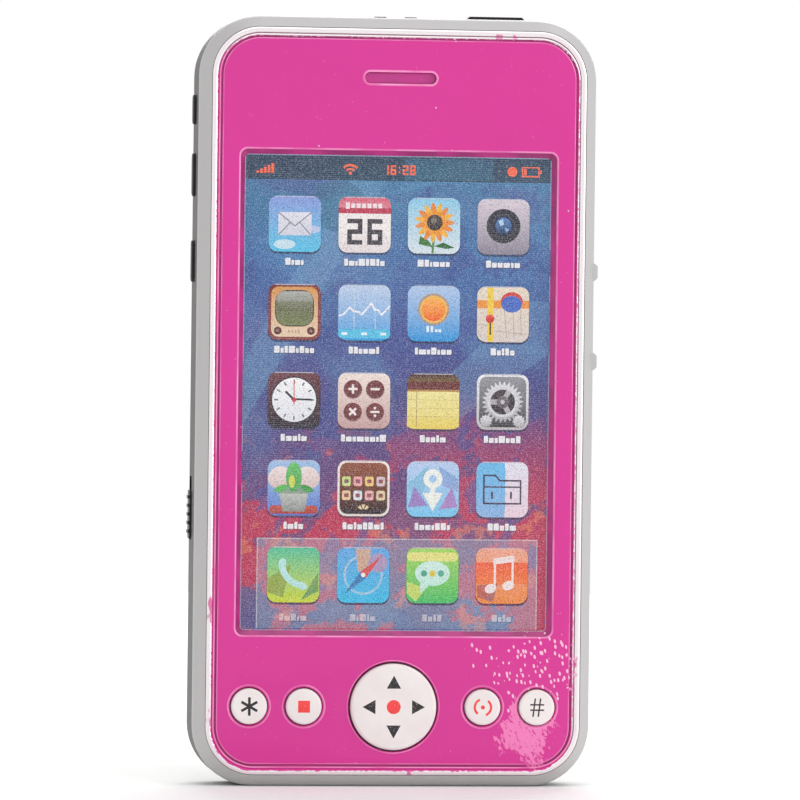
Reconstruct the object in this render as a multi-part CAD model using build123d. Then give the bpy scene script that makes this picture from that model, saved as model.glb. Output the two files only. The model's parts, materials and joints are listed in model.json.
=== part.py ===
from build123d import *
import math
import os

# Toy cell phone that stands upright: +Z is up, its face looks along -Y and its back along +Y.
# The origin is at the middle of the bottom edge, in the middle of the overall depth. Millimetres.
# Layers from the face to the back: keys and faceplate, picture card, tape, front case with its deck,
# silicone keypad, circuit board, then battery cells, speaker and rear cover.

# ---- driving dimensions: body ----
body_width = 62.5
body_height = 120.0
body_depth = 13.5          # crown of the plated rim to the back face
corner_radius = 9.4
back_edge_radius = 2.0
wall = 1.5                 # rear cover wall
inner_radius = 1.0         # inside edge of the rear cover
seam_gap = 0.3             # open groove between the two case halves
lip_thick = 0.9            # tongue of the front case inside the rear cover
lip_height = 1.3
slip = 0.1                 # clearance between parts that slide together by hand
touch = 0.03               # gap between parts that only rest against each other

# ---- front case ----
band_width = 1.8           # silver band seen from the front
band_drop = 2.2            # how far the band slopes back towards its outer edge
band_edge = 1.5            # rounding between its slope and its side
front_wall_depth = 3.15    # painted face plane to the seam
deck_thick = 1.2
nub_length = 2.7
nub_width = 1.0
nub_proud = 0.5
nub_root = 0.5             # how far the nubs reach into the side wall
nub_slope = 0.45           # sloping ends of the nubs
nub_inset = 0.75           # seam to the nubs' middle
nubs_from_top = (39.3, 53.3)

# ---- faceplate ----
plate_thick = 1.6
rim_rise = 0.15            # plated rim above the painted face
rim_edge = 0.25            # rounding of the rim's outer edge
rim_width = 1.35           # both beads of the rim
groove_width = 0.3         # groove between the rim and the painted face
groove_depth = 0.25
bead_line_in = 0.9         # thin line between the two beads, from the rim's outer edge
bead_line_width = 0.13
bead_line_depth = 0.12
shoulder = 0.22            # rounding of the painted face's outer edge
pin_radius = 0.9
pin_length = 1.0
pin_inset = 1.6            # edge of the painted face to the pins' axis
pin_gap = 3.6              # window's end to the pins' axis
slot_length = 11.2
slot_width = 1.7
slot_depth = 0.6
slot_lip = 0.2
slot_lip_proud = 0.08
slot_from_top = 9.2

# ---- picture window and card ----
window_side_margin = 6.45  # body side to the window's edge
window_top_margin = 20.9
window_bottom_margin = 23.6
window_radius = 1.0
window_bevel = 0.7
card_lap = 1.1             # card beyond the bevel's foot
card_thick = 0.6
card_radius = 0.7
tape_thick = 0.2
tape_width = 3.0

# ---- keys ----
key_line = 12.5            # height of the row of keys
key_side_margin = 8.65     # body side to the outer keys' middle
key_gap = 0.85             # between the flanges of two small keys
key_radius = 2.8
key_clear = 0.2
key_proud = 0.55
key_edge = 0.35
hole_edge = 0.2            # rounding of the faceplate's key holes
flange_lap = 0.75          # flange beyond the hole in the deck
flange_thick = 0.8
key_foot_radius = 2.0
key_travel = 0.8
pad_radius = 6.75
pad_clear = 0.32
pad_proud = 0.65
pad_wall = 1.2
pad_crown = 1.4            # thickness of the navigation key's top
pad_edge = 0.5
pad_float = 0.55           # room above the navigation key's flange, for its rocking
pad_flange_thick = 0.6
pad_post_radius = 1.8
key_room = 3.35            # deck to circuit board
dome_height = 2.0          # key foot to circuit board
pill_thick = 0.4
pill_room = 0.05           # pill to the board at the end of a key's travel
pill_radius = 1.6
pad_pill_radius = 2.5
plunger_radius = 2.3
pad_plunger_radius = 4.2
pad_nub_radius = 1.2
pad_nub_height = 0.25
mat_thick = 0.8
mat_gap = 0.4
mat_margin = 1.7           # mat beyond the plungers

# ---- circuit board ----
board_thick = 1.2
board_side_margin = 4.4    # body side to the board's edge
board_bottom = 9.6
board_gap = 7.0            # board's top edge to the battery compartment
board_radius = 1.5
board_screw_side = 17.0
board_screw_rise = 14.5    # lower screws above the row of keys
board_screw_drop = 3.5     # upper screw below the board's top edge
board_screw_length = 3.4
board_head_radius = 1.8
post_radius = 1.9
blob_radius = 5.0
blob_height = 1.1
blob_drop = 19.0           # below the board's top edge, as the next drops are
resistor_size = (3.2, 0.6, 1.6)
low_resistors = ((-10.0, 7.5), (-10.0, 11.5), (8.5, 9.5))       # place, rise above the keys
high_resistors = ((9.5, 12.0), (-9.5, 10.0))                    # place, drop
capacitor_radius = 1.9
capacitor_length = 7.0
capacitor_edge = 0.3
capacitor_groove = (1.2, 0.5, 0.2)                              # place from its end, width, depth
capacitor_place = (14.0, 15.0)                                  # place, drop
led_size = (3.5, 1.9, 2.8)
led_side = 9.0
led_drop = 14.0
led_hole_radius = 2.2
led_edge = 0.3

# ---- power switch in the left side ----
switch_drop = 14.55        # middle of its travel below the board's top edge
switch_travel = 2.0
switch_size = (3.6, 3.6, 8.6)
switch_proud = 0.5
switch_inset = 1.9         # rear cover's wall to the switch
knob_length = 7.6
knob_width = 3.2
knob_base_proud = 0.3
knob_rib_count = 5
knob_rib_width = 0.5
knob_recess = 0.5
knob_clear = 0.2
knob_corner = 0.9
knob_rib_inset = 0.35      # knob's side to the ribs' ends
lever_play = 0.4           # knob's foot to the lever's end
neck_length = 2.6
neck_width = 2.0
lever_length = 1.6
lever_width = 1.2
lever_reach = 1.4          # lever inside the switch

# ---- moulded shapes on the sides of the rear cover ----
side_key_width = 2.2
side_key_proud = 0.45
side_key_depth = 2.0       # their middle, behind the middle of the depth
side_keys = ((14.6, 4.7), (24.8, 6.8), (38.3, 6.6))       # drop from the top, length
top_key = (15.9, 9.4)                                     # place, length
top_ribs = ((-2.4, 2.4), (2.4, 2.4))
top_key_proud = 0.7
top_rib_proud = 0.4
bar_root = 0.6             # how far these bars reach into the wall

# ---- case screws ----
screw_inset = 5.4          # body side to the screw's axis
screw_end_inset = 6.4      # body end to the screw's axis
screw_radius = 1.0
screw_head_radius = 1.9
screw_head_thick = 1.5
screw_grip = 3.3           # thread inside the front case's bosses
pilot_radius = 0.85
pilot_floor = 0.3          # deck to the foot of the pilot holes
shank_hole_radius = 1.2
head_hole_radius = 2.2
boss_wall = 0.8
front_boss_radius = 2.3
front_boss_end = 0.9       # how far the front case's bosses reach behind the board's face
head_seat = 4.0            # back face to the screw head's seat
cross_length = 2.4
cross_width = 0.5
cross_depth = 0.8
head_edge = 0.5            # rounding of a pan head
tip_share = 0.6            # chamfer at a screw's tip, as a share of its radius

# ---- battery compartment ----
cell_radius = 5.8
cell_thick = 5.4
cell_count = 3
cell_gap = 0.8             # between two cells
cells_from_top = 48.0
cell_clear = 0.4
cell_edge = 0.4
cell_cap_radius = 4.9
cell_cap_rise = 0.3
pocket_wall = 1.2
pocket_radius = 0.8
contact_rise = 0.9         # pocket's foot to the contacts' tails
tail_width = 1.6
tail_proud = 0.7           # tails in front of the compartment's floor
tail_room = 0.4            # gap beside the tails in the floor
leaf_room = 1.0
floor_thick = 1.0
spring_room = 0.8
door_thick = 1.4
door_clear = 0.2
door_radius = 2.5
door_edge = 0.25
door_lap = 2.2             # door beyond the pocket, above and below
door_screw_gap = 3.6       # pocket wall to the door screw's axis
door_end_lap = 3.2         # door screw's axis to the door's end
ledge_thick = 1.2
door_screw_radius = 0.95
door_screw_clear = 0.06
door_screw_length = 5.6
door_head_radius = 1.9
door_head_depth = 1.0
door_boss_radius = 2.2
door_grip_count = 4
door_grip_size = (7.0, 0.35, 0.7)
door_grip_pitch = 1.6
contact_thick = 0.25
contact_width = 4.0

# ---- speaker ----
speaker_from_top = 21.0
speaker_radius = 10.0
speaker_rim_thick = 0.9
speaker_basket_radius = 8.2
speaker_basket_depth = 2.2
speaker_magnet_radius = 5.2
speaker_magnet_thick = 1.6
speaker_cone_radius = 8.6
speaker_cone_thick = 0.3
speaker_dome_radius = 3.0
speaker_seat_wall = 1.0
speaker_seat_height = 2.6
speaker_clear = 0.15
seat_notch = 5.2           # half the width of the gap for the speaker's leads
terminal_place = 3.6
gasket_thick = 0.5
grille_hole_radius = 0.7
grille_rings = ((0.0, 1), (2.6, 6), (5.2, 12))

# ---- leads ----
lead_radius = 0.45
lead_depth = 0.55          # their middle, behind the deck
battery_pad_place = 11.2   # pads on the board, from its middle
speaker_pad_place = 3.0
lead_pad_drop = 1.5        # board's top edge to where a lead comes down on its pad
lead_pad_length = 3.5

# ---- planes along the depth, worked out from the sizes above ----
total_depth = body_depth - rim_rise + pad_proud
back = total_depth / 2
face = -total_depth / 2 + pad_proud
plate_back = face + plate_thick
card_front = plate_back - card_thick
deck_front = plate_back + tape_thick
deck_back = deck_front + deck_thick
seam = face + front_wall_depth
rear_front = seam + seam_gap
rear_inner = back - wall
board_front = deck_back + key_room
board_back = board_front + board_thick
key_foot = board_front - dome_height
pill_top = board_front - key_travel - pill_thick - pill_room
pill_foot = pill_top + pill_thick
door_inner = back - door_thick
cell_top = door_inner - contact_thick - touch
cell_foot = cell_top - cell_thick
floor_top = cell_foot - spring_room
floor_front = floor_top - floor_thick
gasket_back = rear_inner - touch
speaker_front = gasket_back - gasket_thick
lead_y = deck_back + lead_depth

# ---- places in the face ----
half_width = body_width / 2
rim_outer = band_width + slip / 2
paint_inset = rim_outer + rim_width + groove_width
window_width = body_width - 2 * window_side_margin
window_height = body_height - window_top_margin - window_bottom_margin
window_middle = window_bottom_margin + window_height / 2
card_width = window_width - 2 * window_bevel + 2 * card_lap
card_height = window_height - 2 * window_bevel + 2 * card_lap
slot_middle = body_height - slot_from_top
hole_radius = key_radius + key_clear
pad_hole_radius = pad_radius + pad_clear
flange_radius = hole_radius + slip + flange_lap
outer_key = half_width - key_side_margin
inner_key = outer_key - 2 * flange_radius - key_gap
small_keys = {"star": -outer_key, "stop": -inner_key, "talk": inner_key, "hash": outer_key}
pad_flange_radius = pad_hole_radius + slip + flange_lap
case_screw_places = [
    (side * (half_width - screw_inset), height)
    for side in (-1, 1)
    for height in (screw_end_inset, body_height - screw_end_inset)
]
cell_pitch = 2 * cell_radius + cell_gap
cell_height = body_height - cells_from_top
pocket_width = cell_pitch * (cell_count - 1) + 2 * cell_radius + cell_clear + 2 * leaf_room
pocket_height = 2 * cell_radius + 2 * cell_clear
contact_foot = cell_height - pocket_height / 2 + contact_rise
cell_places = [cell_pitch * (i - (cell_count - 1) / 2) for i in range(cell_count)]
door_screw_places = [side * (pocket_width / 2 + door_screw_gap) for side in (-1, 1)]
door_width = 2 * (door_screw_places[1] + door_end_lap)
door_height = pocket_height + 2 * door_lap
pins = [
    (side * (half_width - paint_inset - pin_inset), height)
    for side in (-1, 1)
    for height in (window_bottom_margin - pin_gap, body_height - window_top_margin + pin_gap)
]

speaker_height = body_height - speaker_from_top

# ---- places on the board ----
board_top = cell_height - pocket_height / 2 - pocket_wall - board_gap
low_screws = key_line + board_screw_rise
board_screw_places = [
    (-board_screw_side, low_screws),
    (board_screw_side, low_screws),
    (0.0, board_top - board_screw_drop),
]
led_places = [(side * led_side, board_top - led_drop) for side in (-1, 1)]
resistor_places = [(x, key_line + rise) for x, rise in low_resistors]
resistor_places += [(x, board_top - drop) for x, drop in high_resistors]
switch_height = board_top - switch_drop
switch_mid = board_back + touch + switch_size[1] / 2
switch_outer = -(half_width - wall - switch_inset)
knob_rest = switch_height - switch_travel / 2


def sketch_plane(y):
    """Plane across the depth at y, with its own x along X and its own y along Z."""
    return Plane.XZ.offset(-y)


def slab(width, height, y0, y1, radius=0.0, x=0.0, z=0.0):
    """Rounded rectangular plate from y0 to y1, its middle at x, z."""
    outline = RectangleRounded(width, height, radius) if radius > 0 else Rectangle(width, height)
    return extrude(sketch_plane(y0) * Pos(x, z) * outline, amount=-(y1 - y0))


def rod(radius, y0, y1, x=0.0, z=0.0):
    """Round bar along Y from y0 to y1."""
    return extrude(sketch_plane(y0) * Pos(x, z) * Circle(radius), amount=-(y1 - y0))


def stadium(length, width, y0, y1, x=0.0, z=0.0):
    """Slot shape along X with round ends."""
    return extrude(sketch_plane(y0) * Pos(x, z) * SlotOverall(length, width), amount=-(y1 - y0))


def outline(inset, y0, y1):
    """Body outline moved inwards by inset, standing on the bottom edge."""
    radius = max(corner_radius - inset, 0.5)
    return slab(body_width - 2 * inset, body_height - 2 * inset, y0, y1, radius, 0, body_height / 2)


def edges_at(shape, y):
    """Edges that lie in the plane y."""
    return [
        edge
        for edge in shape.edges()
        if abs(edge.bounding_box().min.Y - y) < 1e-4 and abs(edge.bounding_box().max.Y - y) < 1e-4
    ]


def longest_loop(shape, y):
    """Edges of the largest outline in the plane y."""
    found = edges_at(shape, y)
    reach = max(edge.bounding_box().max.Z for edge in found)
    foot = min(edge.bounding_box().min.Z for edge in found)
    side = max(edge.bounding_box().max.X for edge in found)
    return [
        edge
        for edge in found
        if edge.bounding_box().max.Z > reach - 1e-3
        or edge.bounding_box().min.Z < foot + 1e-3
        or abs(edge.bounding_box().max.X) > side - 1e-3
        or abs(edge.bounding_box().min.X) > side - 1e-3
    ]


def box(x0, x1, y0, y1, z0, z1):
    """Block between two corners."""
    return Pos((x0 + x1) / 2, (y0 + y1) / 2, (z0 + z1) / 2) * Box(x1 - x0, y1 - y0, z1 - z0)


def save(shape, name):
    """Writes one node."""
    export_step(shape, f"parts/{name}.step")


# ---------------------------------------------------------------- front of the phone

def make_front_case():
    """Silver front half: sloping band round the faceplate, deck behind it, lip, bosses and posts."""
    case = outline(0, face, seam)
    case = chamfer(longest_loop(case, face), length=band_drop, length2=band_width)
    low_edge = face + band_drop
    case = fillet(longest_loop(case, low_edge), band_edge)
    case -= outline(rim_outer - slip / 2, face - 1, deck_front)
    case -= outline(wall, deck_back, seam + 1)
    lip_outer = wall + slip
    case += outline(lip_outer, deck_back - deck_thick / 2, seam + lip_height) - outline(
        lip_outer + lip_thick, deck_back - deck_thick, seam + lip_height + 1
    )
    for x, z in case_screw_places:
        case += rod(front_boss_radius, deck_back - 0.2, board_front + front_boss_end, x, z)
        case -= rod(pilot_radius, deck_back + pilot_floor, board_front + front_boss_end + 1, x, z)
    for x, z in board_screw_places:
        case += rod(post_radius, deck_back - 0.2, board_front - touch, x, z)
        case -= rod(pilot_radius, deck_back + pilot_floor, board_front + 1, x, z)
    for x in small_keys.values():
        case -= rod(hole_radius + slip, deck_front - 1, deck_back + 1, x, key_line)
    case -= rod(pad_hole_radius + slip, deck_front - 1, deck_back + 1, 0, key_line)
    for x, z in led_places:
        case -= rod(led_hole_radius, deck_front - 1, deck_back + 1, x, z)
    for x, z in pins:
        case -= rod(pin_radius + slip / 2, deck_front - 1, deck_back + 1, x, z)
    nub_y = seam - nub_inset
    for drop in nubs_from_top:
        z = body_height - drop
        nub = box(half_width - nub_root, half_width + nub_proud, nub_y - nub_width / 2, nub_y + nub_width / 2,
                  z - nub_length / 2, z + nub_length / 2)
        case += chamfer(nub.edges().filter_by(Axis.Y).group_by(Axis.X)[-1], nub_slope)
    return case


def make_faceplate():
    """Plated plate: two beads round the edge, painted face, window, key holes and a blind ear slot."""
    plate = outline(rim_outer, face - rim_rise, plate_back)
    plate = fillet(longest_loop(plate, face - rim_rise), rim_edge)
    line_in = rim_outer + bead_line_in
    plate -= outline(line_in, face - rim_rise - 1, face - rim_rise + bead_line_depth) - outline(
        line_in + bead_line_width, face - 2, face + 1
    )
    painted = outline(paint_inset, face - 2, plate_back)
    plate -= outline(rim_outer + rim_width, face - 2, face + groove_depth) - painted
    plate -= outline(paint_inset, face - 2, face)
    plate = fillet([e for e in edges_at(plate, face)], shoulder)
    bevel = window_bevel
    mouth = sketch_plane(face - 0.01) * Pos(0, window_middle) * RectangleRounded(
        window_width, window_height, window_radius)
    foot = sketch_plane(card_front) * Pos(0, window_middle) * RectangleRounded(
        window_width - 2 * bevel, window_height - 2 * bevel, window_radius - bevel / 2)
    plate -= loft([mouth, foot])
    plate -= slab(card_width + 2 * slip, card_height + 2 * slip, card_front - touch, plate_back + 1,
                  card_radius + slip, 0, window_middle)
    for x in small_keys.values():
        plate -= rod(hole_radius, face - 1, plate_back + 1, x, key_line)
    plate -= rod(pad_hole_radius, face - 1, plate_back + 1, 0, key_line)
    rims = [
        edge
        for edge in edges_at(plate, face)
        if edge.geom_type == GeomType.CIRCLE and edge.radius > hole_radius - 0.01
        and abs(edge.arc_center.Z - key_line) < 1e-3
    ]
    plate = fillet(rims, hole_edge)
    plate -= stadium(slot_length, slot_width, face - 1, face + slot_depth, 0, slot_middle)
    lip = stadium(slot_length + 4 * slot_lip, slot_width + 4 * slot_lip,
                  face - slot_lip_proud, face + 0.1, 0, slot_middle)
    plate += lip - stadium(slot_length, slot_width, face - 1, face + 1, 0, slot_middle)
    for x, z in pins:
        plate += rod(pin_radius, plate_back - 0.3, plate_back + tape_thick + pin_length, x, z)
    return plate


def make_card():
    """Stiff picture card with its ribbed lens face."""
    return slab(card_width, card_height, card_front, plate_back, card_radius, 0, window_middle)


def make_tape():
    """Double-sided tape frame that holds the card and plate to the deck."""
    ring = slab(card_width, card_height, plate_back, deck_front, card_radius, 0, window_middle)
    inner = (card_width - 2 * tape_width, card_height - 2 * tape_width)
    return ring - slab(*inner, plate_back - 1, deck_front + 1, card_radius, 0, window_middle)


def make_small_key(x):
    """Round cap with a retaining flange and a foot."""
    cap = rod(key_radius, face - key_proud, deck_back + slip, x, key_line)
    cap = fillet(edges_at(cap, face - key_proud), key_edge)
    flange_top = deck_back + slip / 2
    cap += rod(flange_radius, flange_top, flange_top + flange_thick, x, key_line)
    cap += rod(key_foot_radius, flange_top, key_foot - touch, x, key_line)
    return cap


def make_navigation_key():
    """Large hollow cap with a flange and a round-ended post that it rocks on."""
    top = face - pad_proud
    flange_top = deck_back + pad_float
    flange_foot = flange_top + pad_flange_thick
    cap = rod(pad_radius, top, flange_top + 0.2, 0, key_line)
    cap = fillet(edges_at(cap, top), pad_edge)
    cap += rod(pad_flange_radius, flange_top, flange_foot, 0, key_line)
    hollow = rod(pad_radius - pad_wall, top + pad_crown, flange_foot + 1, 0, key_line)
    cap -= hollow
    post_end = key_foot - touch
    cap += rod(pad_post_radius, top + pad_crown - 0.1, post_end - pad_post_radius / 2, 0, key_line)
    tip = Pos(0, post_end - pad_post_radius, key_line) * Sphere(pad_post_radius)
    cap += tip
    return cap


def make_plunger(x):
    """Silicone dome's solid middle under a small key."""
    return rod(plunger_radius, key_foot, pill_top, x, key_line)


def make_pad_plunger():
    """Silicone middle under the navigation key, with a small nub that it tilts on."""
    low = pill_top - touch - pad_nub_height
    body = rod(pad_plunger_radius, key_foot, low, 0, key_line)
    nub = Pos(0, pill_top - touch - pad_nub_radius, key_line) * Sphere(pad_nub_radius)
    nub &= rod(pad_nub_radius, low - 0.2, pill_top, 0, key_line)
    return body + nub


def make_mat():
    """Silicone keypad sheet with an opening round each dome."""
    strip = 2 * (plunger_radius + mat_gap + mat_margin)
    sheet = slab(2 * outer_key + strip, strip,
                 board_front - mat_thick, board_front, strip / 2 - 0.01, 0, key_line)
    sheet += rod(pad_plunger_radius + mat_gap + mat_margin, board_front - mat_thick, board_front, 0, key_line)
    for x in small_keys.values():
        sheet -= rod(plunger_radius + mat_gap, board_front - mat_thick - 1, board_front + 1, x, key_line)
    sheet -= rod(pad_plunger_radius + mat_gap, board_front - mat_thick - 1, board_front + 1, 0, key_line)
    return sheet


# ---------------------------------------------------------------- electronics

def make_board():
    """Circuit board with holes for its screws."""
    width = body_width - 2 * board_side_margin
    board = slab(width, board_top - board_bottom, board_front, board_back, board_radius, 0,
                 (board_top + board_bottom) / 2)
    for x, z in board_screw_places:
        board -= rod(shank_hole_radius, board_front - 1, board_back + 1, x, z)
    for x, z in case_screw_places:
        board -= rod(front_boss_radius + 2 * slip, board_front - 1, board_back + 1, x, z)
    return board


def pan_screw(x, z, seat, length, head_radius=screw_head_radius, radius=screw_radius):
    """Pan head screw that points towards the face, its head's underside at seat."""
    head = rod(head_radius, seat, seat + screw_head_thick, x, z)
    head = fillet(edges_at(head, seat + screw_head_thick), head_edge)
    for turn in (0, 90):
        bar = Pos(x, seat + screw_head_thick - cross_depth / 2, z) * Rot(0, turn, 0)
        head -= bar * Box(cross_length, cross_depth + 0.01, cross_width)
    shank = rod(radius, seat - length, seat + 0.1, x, z)
    shank = chamfer(edges_at(shank, seat - length), radius * tip_share)
    return head + shank


def make_board_screws():
    """Short screws that hold the board to the deck's posts."""
    return Compound([
        pan_screw(x, z, board_back, board_screw_length, board_head_radius) for x, z in board_screw_places
    ])


def make_blob():
    """Black resin dome over the sound chip."""
    z = board_top - blob_drop
    radius = (blob_radius**2 + blob_height**2) / (2 * blob_height)
    ball = Pos(0, board_back + blob_height - radius, z) * Sphere(radius)
    return ball & rod(blob_radius + 1, board_back, board_back + blob_height + 1, 0, z)


def make_resistors():
    """Surface-mounted resistors."""
    lx, ly, lz = resistor_size
    return Compound([
        box(x - lx / 2, x + lx / 2, board_back, board_back + ly, z - lz / 2, z + lz / 2)
        for x, z in resistor_places
    ])


def make_capacitor():
    """Small electrolytic can lying on the board."""
    x, drop = capacitor_place
    z = board_top - drop
    can = Pos(x, board_back + capacitor_radius + touch, z) * Rot(0, 90, 0) * Cylinder(
        capacitor_radius, capacitor_length)
    can = fillet(can.edges(), capacitor_edge)
    place, width, depth = capacitor_groove
    neck = Pos(x - capacitor_length / 2 + place, board_back + capacitor_radius + touch, z) * Rot(0, 90, 0)
    groove = neck * (Cylinder(capacitor_radius + 1, width) - Cylinder(capacitor_radius - depth, width + 1))
    return can - groove


def make_leds():
    """Two surface-mounted lamps that shine into the card through the deck's holes."""
    lx, ly, lz = led_size
    lamps = []
    for x, z in led_places:
        lamp = box(x - lx / 2, x + lx / 2, board_front - ly, board_front, z - lz / 2, z + lz / 2)
        lamps.append(chamfer(edges_at(lamp, board_front - ly), led_edge))
    return Compound(lamps)


# ---------------------------------------------------------------- power switch

def make_switch_body():
    """Metal slide switch on the board's edge, open towards the side wall."""
    dx, dy, dz = switch_size
    body = box(switch_outer, switch_outer + dx, switch_mid - dy / 2, switch_mid + dy / 2,
               switch_height - dz / 2, switch_height + dz / 2)
    half = (switch_travel + lever_length) / 2 + slip
    body -= box(switch_outer - 1, switch_outer + lever_reach + slip,
                switch_mid - lever_width / 2 - slip, switch_mid + lever_width / 2 + slip,
                switch_height - half, switch_height + half)
    return body


def make_switch_lever():
    """Lever of the slide switch, at its lower stop."""
    return box(-half_width + knob_recess + lever_play, switch_outer + lever_reach,
               switch_mid - lever_width / 2, switch_mid + lever_width / 2,
               knob_rest - lever_length / 2, knob_rest + lever_length / 2)


def make_switch_knob():
    """Finger piece with grip ribs, and a neck that holds the lever."""
    base_x = -half_width - knob_base_proud
    foot_x = -half_width + knob_recess - touch
    base = box(base_x, foot_x, switch_mid - knob_width / 2, switch_mid + knob_width / 2,
               knob_rest - knob_length / 2, knob_rest + knob_length / 2)
    base = fillet(base.edges().filter_by(Axis.X), knob_corner)
    pitch = (knob_length - 2.2) / (knob_rib_count - 1)
    for i in range(knob_rib_count):
        z = knob_rest + pitch * (i - (knob_rib_count - 1) / 2)
        base += box(-half_width - switch_proud, base_x + 0.1,
                    switch_mid - knob_width / 2 + knob_rib_inset,
                    switch_mid + knob_width / 2 - knob_rib_inset,
                    z - knob_rib_width / 2, z + knob_rib_width / 2)
    base += box(foot_x - 0.1, -half_width + wall + 0.9,
                switch_mid - neck_width / 2, switch_mid + neck_width / 2,
                knob_rest - neck_length / 2, knob_rest + neck_length / 2)
    base -= box(-half_width + knob_recess + lever_play - touch, -half_width + wall + 2,
                switch_mid - lever_width / 2 - touch, switch_mid + lever_width / 2 + touch,
                knob_rest - lever_length / 2 - touch, knob_rest + lever_length / 2 + touch)
    return base


# ---------------------------------------------------------------- rear of the phone

def side_bar(length, height):
    """Rounded bar that stands out of the left side."""
    y0, y1 = side_key_depth - side_key_width / 2, side_key_depth + side_key_width / 2
    bar = box(-half_width - side_key_proud, -half_width + bar_root, y0, y1,
              height - length / 2, height + length / 2)
    bar = fillet(bar.edges().filter_by(Axis.X), side_key_width * 0.45)
    return fillet(bar.faces().sort_by(Axis.X)[0].edges(), side_key_proud * 0.6)


def top_bar(place, length, proud):
    """Bar with sloping ends that stands out of the top side."""
    y0, y1 = side_key_depth - side_key_width / 2, side_key_depth + side_key_width / 2
    bar = box(place - length / 2, place + length / 2, y0, y1, body_height - bar_root, body_height + proud)
    ends = bar.faces().sort_by(Axis.Z)[-1].edges().filter_by(Axis.Y)
    return chamfer(ends, proud * 0.8)


def make_rear_cover():
    """Black rear shell: battery compartment, speaker seat and grille, screw wells, side keys."""
    shell = outline(0, rear_front, back)
    shell = fillet(longest_loop(shell, back), back_edge_radius)
    inner = outline(wall, rear_front - 1, rear_inner)
    inner = fillet(longest_loop(inner, rear_inner), inner_radius)
    shell -= inner
    for drop, length in side_keys:
        shell += side_bar(length, body_height - drop)
    shell += top_bar(*top_key, top_key_proud)
    for place, length in top_ribs:
        shell += top_bar(place, length, top_rib_proud)
    # wells for the case screws
    boss_foot = board_front + front_boss_end + slip
    for x, z in case_screw_places:
        boss = rod(head_hole_radius + boss_wall, boss_foot, rear_inner + 0.2, x, z)
        shell += boss & outline(0.2, -back, back)
        shell -= rod(head_hole_radius, back - head_seat, back + 1, x, z)
        shell -= rod(shank_hole_radius, boss_foot - 1, back, x, z)
    # battery compartment
    room = (pocket_width + 2 * pocket_wall, pocket_height + 2 * pocket_wall)
    shell += slab(*room, floor_front, rear_inner + 0.2, 1.2, 0, cell_height)
    ledge = (door_width + 2 * pocket_wall, door_height + 2 * pocket_wall)
    shell += slab(*ledge, door_inner - ledge_thick, rear_inner + 0.2, door_radius, 0, cell_height)
    for x in door_screw_places:
        shell += rod(door_boss_radius, back - door_screw_length - 1.0, door_inner - 0.2, x, cell_height)
    shell -= slab(pocket_width, pocket_height, floor_top, back + 1, pocket_radius, 0, cell_height)
    shell -= slab(door_width + 2 * door_clear, door_height + 2 * door_clear, door_inner - touch, back + 1,
                  door_radius + door_clear, 0, cell_height)
    for x in door_screw_places:
        shell -= rod(door_screw_radius + door_screw_clear,
                     back - door_screw_length - 0.3, back, x, cell_height)
    for x in (cell_places[0], cell_places[-1]):
        half = tail_width / 2 + tail_room
        shell -= box(x - half, x + half, floor_front - 1, floor_top + 1,
                     contact_foot - contact_rise + 0.2, contact_foot + contact_thick + tail_room - slip)
    # speaker seat and grille
    seat = rod(speaker_radius + speaker_clear + speaker_seat_wall, rear_inner - speaker_seat_height,
               rear_inner + 0.2, 0, speaker_height)
    shell += seat - rod(speaker_radius + speaker_clear, rear_front, rear_inner, 0, speaker_height)
    shell -= box(-seat_notch, seat_notch, rear_front, speaker_front - speaker_rim_thick + slip,
                 speaker_height - speaker_radius - speaker_seat_wall - 1,
                 speaker_height - speaker_basket_radius)
    for ring, count in grille_rings:
        for i in range(count):
            angle = 2 * math.pi * i / count
            shell -= rod(grille_hole_radius, rear_inner - 1, back + 1,
                         ring * math.cos(angle), speaker_height + ring * math.sin(angle))
    # power switch recess and slot
    half_l = (knob_length + switch_travel) / 2 + knob_clear
    half_w = knob_width / 2 + knob_clear
    recess = box(-half_width - 1, -half_width + knob_recess, switch_mid - half_w, switch_mid + half_w,
                 switch_height - half_l, switch_height + half_l)
    shell -= fillet(recess.edges().filter_by(Axis.X), 1.0)
    shell -= box(-half_width, -half_width + wall + 1, switch_mid - neck_width / 2 - knob_clear,
                 switch_mid + neck_width / 2 + knob_clear,
                 switch_height - (neck_length + switch_travel) / 2 - knob_clear,
                 switch_height + (neck_length + switch_travel) / 2 + knob_clear)
    return shell


def make_case_screws():
    """Four screws that join the case halves."""
    length = back - head_seat - board_front - front_boss_end + screw_grip
    return Compound([pan_screw(x, z, back - head_seat, length) for x, z in case_screw_places])


def make_door():
    """Battery door with countersunk screw holes and grip bars."""
    door = slab(door_width, door_height, door_inner, back, door_radius, 0, cell_height)
    door = fillet(longest_loop(door, back), door_edge)
    for x in door_screw_places:
        sink = Pos(x, back - door_head_depth / 2, cell_height) * Rot(-90, 0, 0) * Cone(
            door_screw_radius + door_screw_clear, door_head_radius + 0.05, door_head_depth)
        door -= sink
        door -= rod(door_screw_radius + door_screw_clear, door_inner - 1, back, x, cell_height)
    length, depth, width = door_grip_size
    for i in range(door_grip_count):
        z = cell_height + door_grip_pitch * (i - (door_grip_count - 1) / 2)
        door -= stadium(length, width, back - depth, back + 1, 0, z)
    return door


def make_door_screws():
    """Two captive countersunk screws."""
    screws = []
    for x in door_screw_places:
        head = Pos(x, back - door_head_depth / 2, cell_height) * Rot(-90, 0, 0) * Cone(
            door_screw_radius, door_head_radius, door_head_depth)
        shank = rod(door_screw_radius, back - door_screw_length, back - door_head_depth + 0.1, x, cell_height)
        screw = head + chamfer(edges_at(shank, back - door_screw_length), door_screw_radius * tip_share)
        for turn in (0, 90):
            bar = Pos(x, back - cross_depth / 2, cell_height) * Rot(0, turn, 0)
            screw -= bar * Box(cross_length, cross_depth + 0.01, cross_width)
        screws.append(screw)
    return Compound(screws)


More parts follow.
